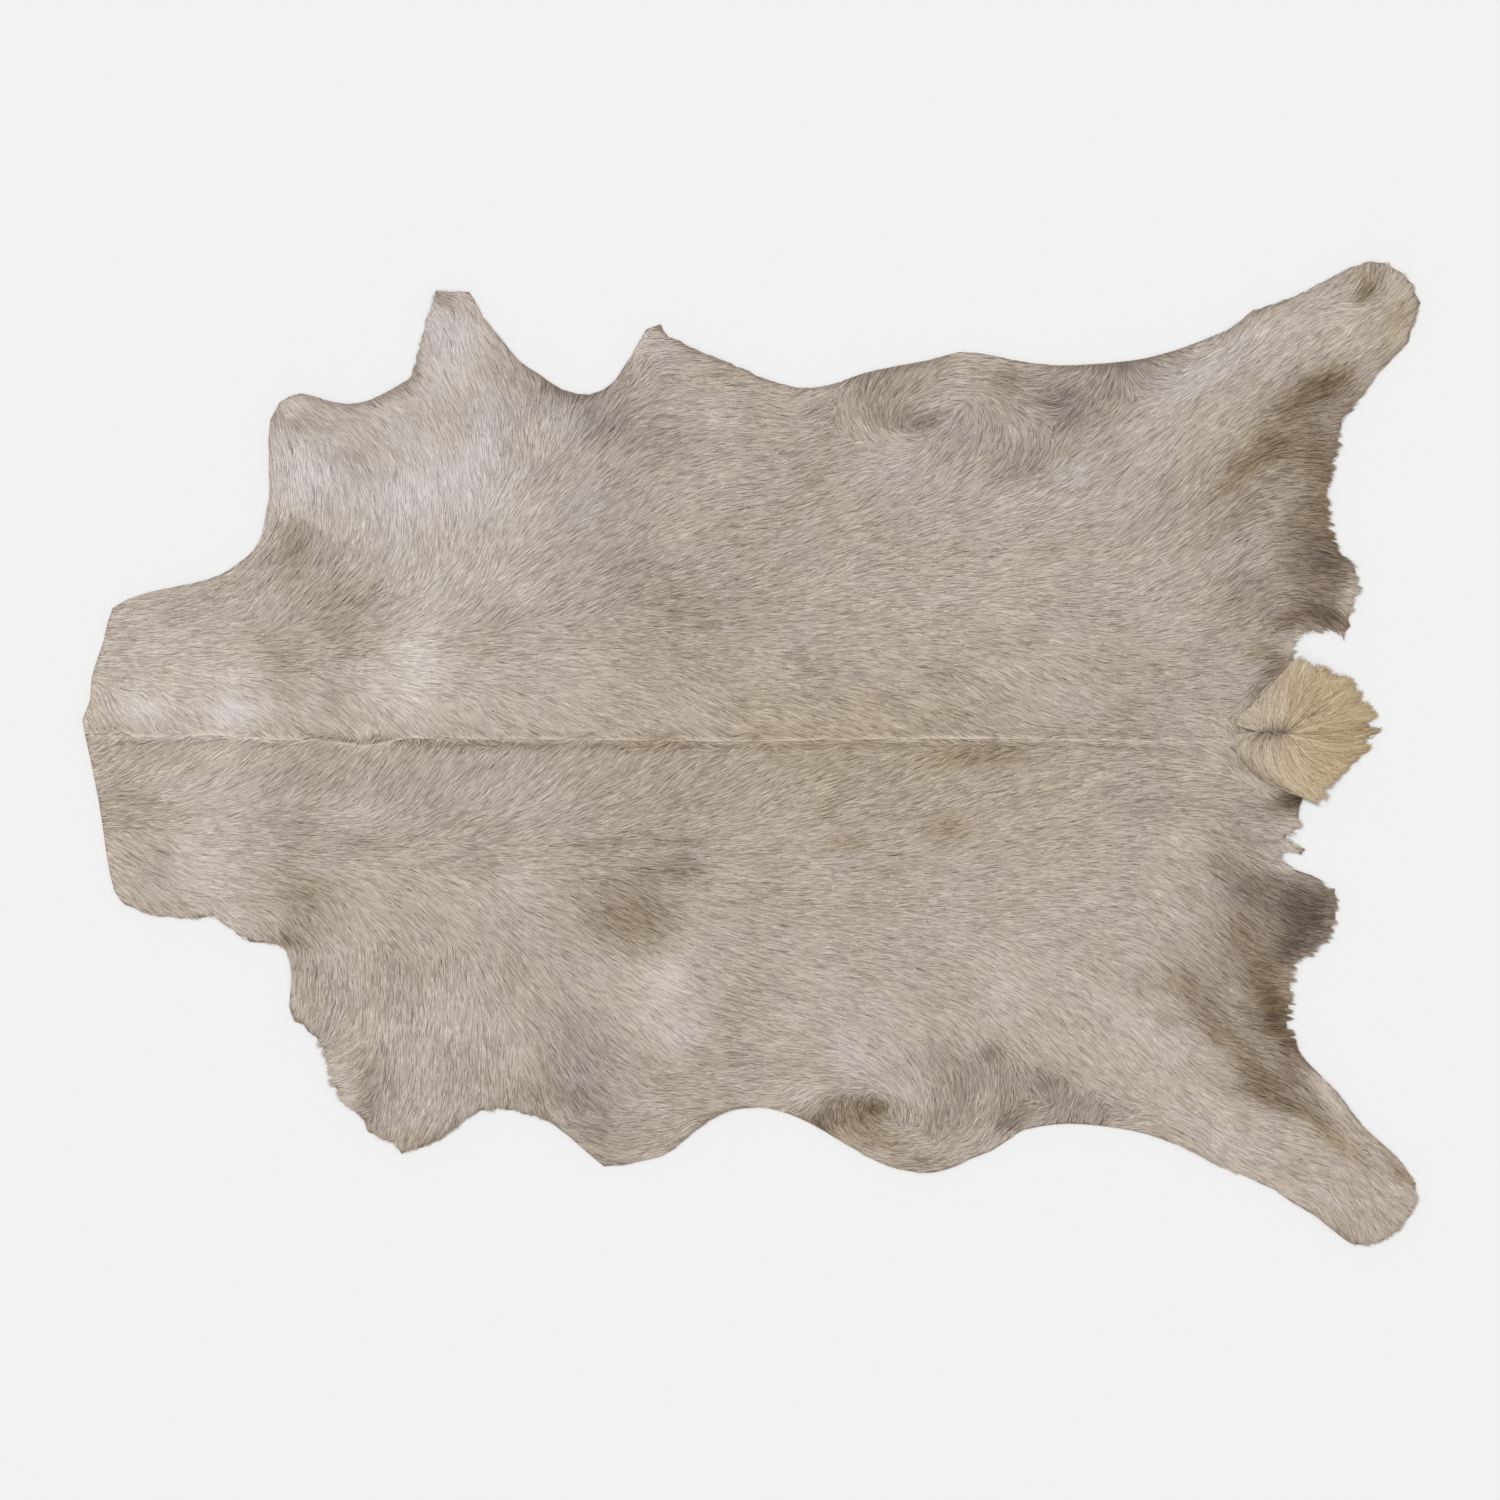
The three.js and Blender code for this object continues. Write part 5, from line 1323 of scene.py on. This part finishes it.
class Finish:
    """A material being built, with its one shader"""

    def __init__(self, name):
        self.material = bpy.data.materials.new(name)
        self.material.use_nodes = True
        self.nodes = self.material.node_tree.nodes
        self.links = self.material.node_tree.links
        self.shader = self.nodes["Principled BSDF"]

    def set_socket(self, socket, value):
        if isinstance(value, Socket):
            self.links.new(value.link, socket)
        else:
            socket.default_value = value

    def node(self, kind, settings=None, sockets=None, output=0):
        """A node of the given type: its settings first, then its sockets' values or links"""
        made = self.nodes.new(kind)
        for key, value in (settings or {}).items():
            if key == "stops":
                self.set_stops(made.color_ramp, value)
            else:
                setattr(made, key, value)
        for key, value in (sockets or {}).items():
            self.set_socket(made.inputs[key], value)
        return Socket(self, made.outputs[output])

    @staticmethod
    def set_stops(color_ramp, stops):
        while len(color_ramp.elements) < len(stops):
            color_ramp.elements.new(1)
        for element, (position, colour) in zip(color_ramp.elements, stops):
            element.position = position
            element.color = linear(colour)

    def attribute(self, name):
        return self.node("ShaderNodeAttribute", {"attribute_name": name}, output="Fac")

    def noise(self, scale, detail):
        place = self.node("ShaderNodeTexCoord", output="Object")
        sockets = {"Vector": place, "Scale": scale, "Detail": detail}
        return self.node("ShaderNodeTexNoise", None, sockets, output="Fac")

    def mix(self, share, first, second):
        sockets = {0: share, 6: first, 7: second}
        return self.node("ShaderNodeMix", {"data_type": "RGBA"}, sockets, output=2)

    def bump(self, height, strength, depth):
        sockets = {"Height": height, "Strength": strength, "Distance": depth}
        return self.node("ShaderNodeBump", None, sockets)

    def finish(self, **sockets):
        """Sets the shader's sockets, named with _ for each space, and gives the material"""
        for name, value in sockets.items():
            self.set_socket(self.shader.inputs[name.replace("_", " ")], value)
        return self.material


def hair_finish(name, cool, warm, roughness):
    """Lying hair: two ramps on the strand's tone, mixed by its warmth, with fine ribs"""
    made = Finish(name)
    tone = made.attribute("tone")
    warmth = made.attribute("warmth")
    cool_ramp = made.node("ShaderNodeValToRGB", {"stops": cool}, {0: tone})
    warm_ramp = made.node("ShaderNodeValToRGB", {"stops": warm}, {0: tone})
    ribs = made.noise(*RIBS)
    return made.finish(
        Specular_IOR_Level=HAIR_SPECULAR,
        Base_Color=made.mix(warmth, cool_ramp, warm_ramp),
        Roughness=roughness - TONE_GLOSS * (tone - 0.5) + RIB_ROUGHNESS * ribs,
        Normal=made.bump(ribs, *RIB_BUMP),
    )


def skin_finish():
    """Tanned suede: clouded brown with a fine nap"""
    made = Finish("skin_suede")
    cloud = made.noise(*CLOUD)
    nap = made.noise(*NAP)
    mottle = CLOUD_SHARE * cloud + (1 - CLOUD_SHARE) * nap
    return made.finish(
        Sheen_Weight=SKIN_SHEEN,
        Base_Color=made.mix(mottle, linear(SUEDE_DARK), linear(SUEDE_LIGHT)),
        Roughness=SKIN_ROUGHNESS + NAP_ROUGHNESS * nap,
        Normal=made.bump(nap, *NAP_BUMP),
    )


def floor_piece():
    """A plain pale floor that reaches past every view"""
    half = FLOOR_HALF
    corners = [(-half, -half, 0), (half, -half, 0), (half, half, 0), (-half, half, 0)]
    mesh = bpy.data.meshes.new("floor")
    mesh.from_pydata(corners, [], [(0, 1, 2, 3)])
    floor = bpy.data.objects.new("floor", mesh)
    bpy.context.scene.collection.objects.link(floor)
    made = Finish("pale_floor")
    finish = made.finish(
        Base_Color=linear(FLOOR_COLOUR), Roughness=FLOOR_ROUGHNESS, Specular_IOR_Level=FLOOR_SPECULAR
    )
    floor.data.materials.append(finish)
    floor.location.z = -FLOOR_DROP


def add_camera():
    """A camera straight over the hide"""
    data = bpy.data.cameras.new("camera")
    data.sensor_width = SENSOR
    data.lens = SENSOR * CAMERA_HEIGHT / VIEW_WIDTH
    data.clip_end = CAMERA_SIGHT
    camera = bpy.data.objects.new("camera", data)
    place = (np.array(VIEW_MIDDLE) + PLAN_ZERO) * METRE
    camera.location = (place[0], place[1], CAMERA_HEIGHT)
    bpy.context.scene.collection.objects.link(camera)
    bpy.context.scene.camera = camera


def add_light():
    """One broad soft key from the upper left, and an even pale room"""
    data = bpy.data.lights.new("key", "SUN")
    data.energy = KEY_ENERGY
    data.angle = math.radians(KEY_SPREAD)
    key = bpy.data.objects.new("key", data)
    key.rotation_euler = [math.radians(degrees) for degrees in KEY_TILT]
    bpy.context.scene.collection.objects.link(key)
    world = bpy.data.worlds.new("room")
    world.use_nodes = True
    background = world.node_tree.nodes["Background"]
    background.inputs["Color"].default_value = (1, 1, 1, 1)
    background.inputs["Strength"].default_value = ROOM_STRENGTH
    bpy.context.scene.world = world
    bpy.context.scene.view_settings.view_transform = "Standard"


def build():
    """All pieces of the goatskin with their finishes, hung on the root body; the CAD parts that they
    replace are hidden
    """
    ragged = ragged_grid()
    plan = plan_of(eased(underside_rim("hide"), ragged), ragged)
    coat_finish = hair_finish("coat_hair", COOL_COAT, WARM_COAT, COAT_ROUGHNESS)
    coats = []
    for index, (name, start, end) in enumerate(COATS):
        piece = coat_piece(name, start, end, COAT_SEED + index, plan)
        piece.data.materials.append(coat_finish)
        coats.append(piece)
    fan = tail_piece()
    fan.data.materials.append(hair_finish("tail_hair", PALE_TAIL, STRAW_TAIL, TAIL_ROUGHNESS))
    skin = skin_piece(plan)
    skin.data.materials.append(skin_finish())
    for piece in coats + [fan, skin]:
        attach(piece, "root")
    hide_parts("hide")
    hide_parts("tail_tuft")


build()
floor_piece()
add_camera()
add_light()
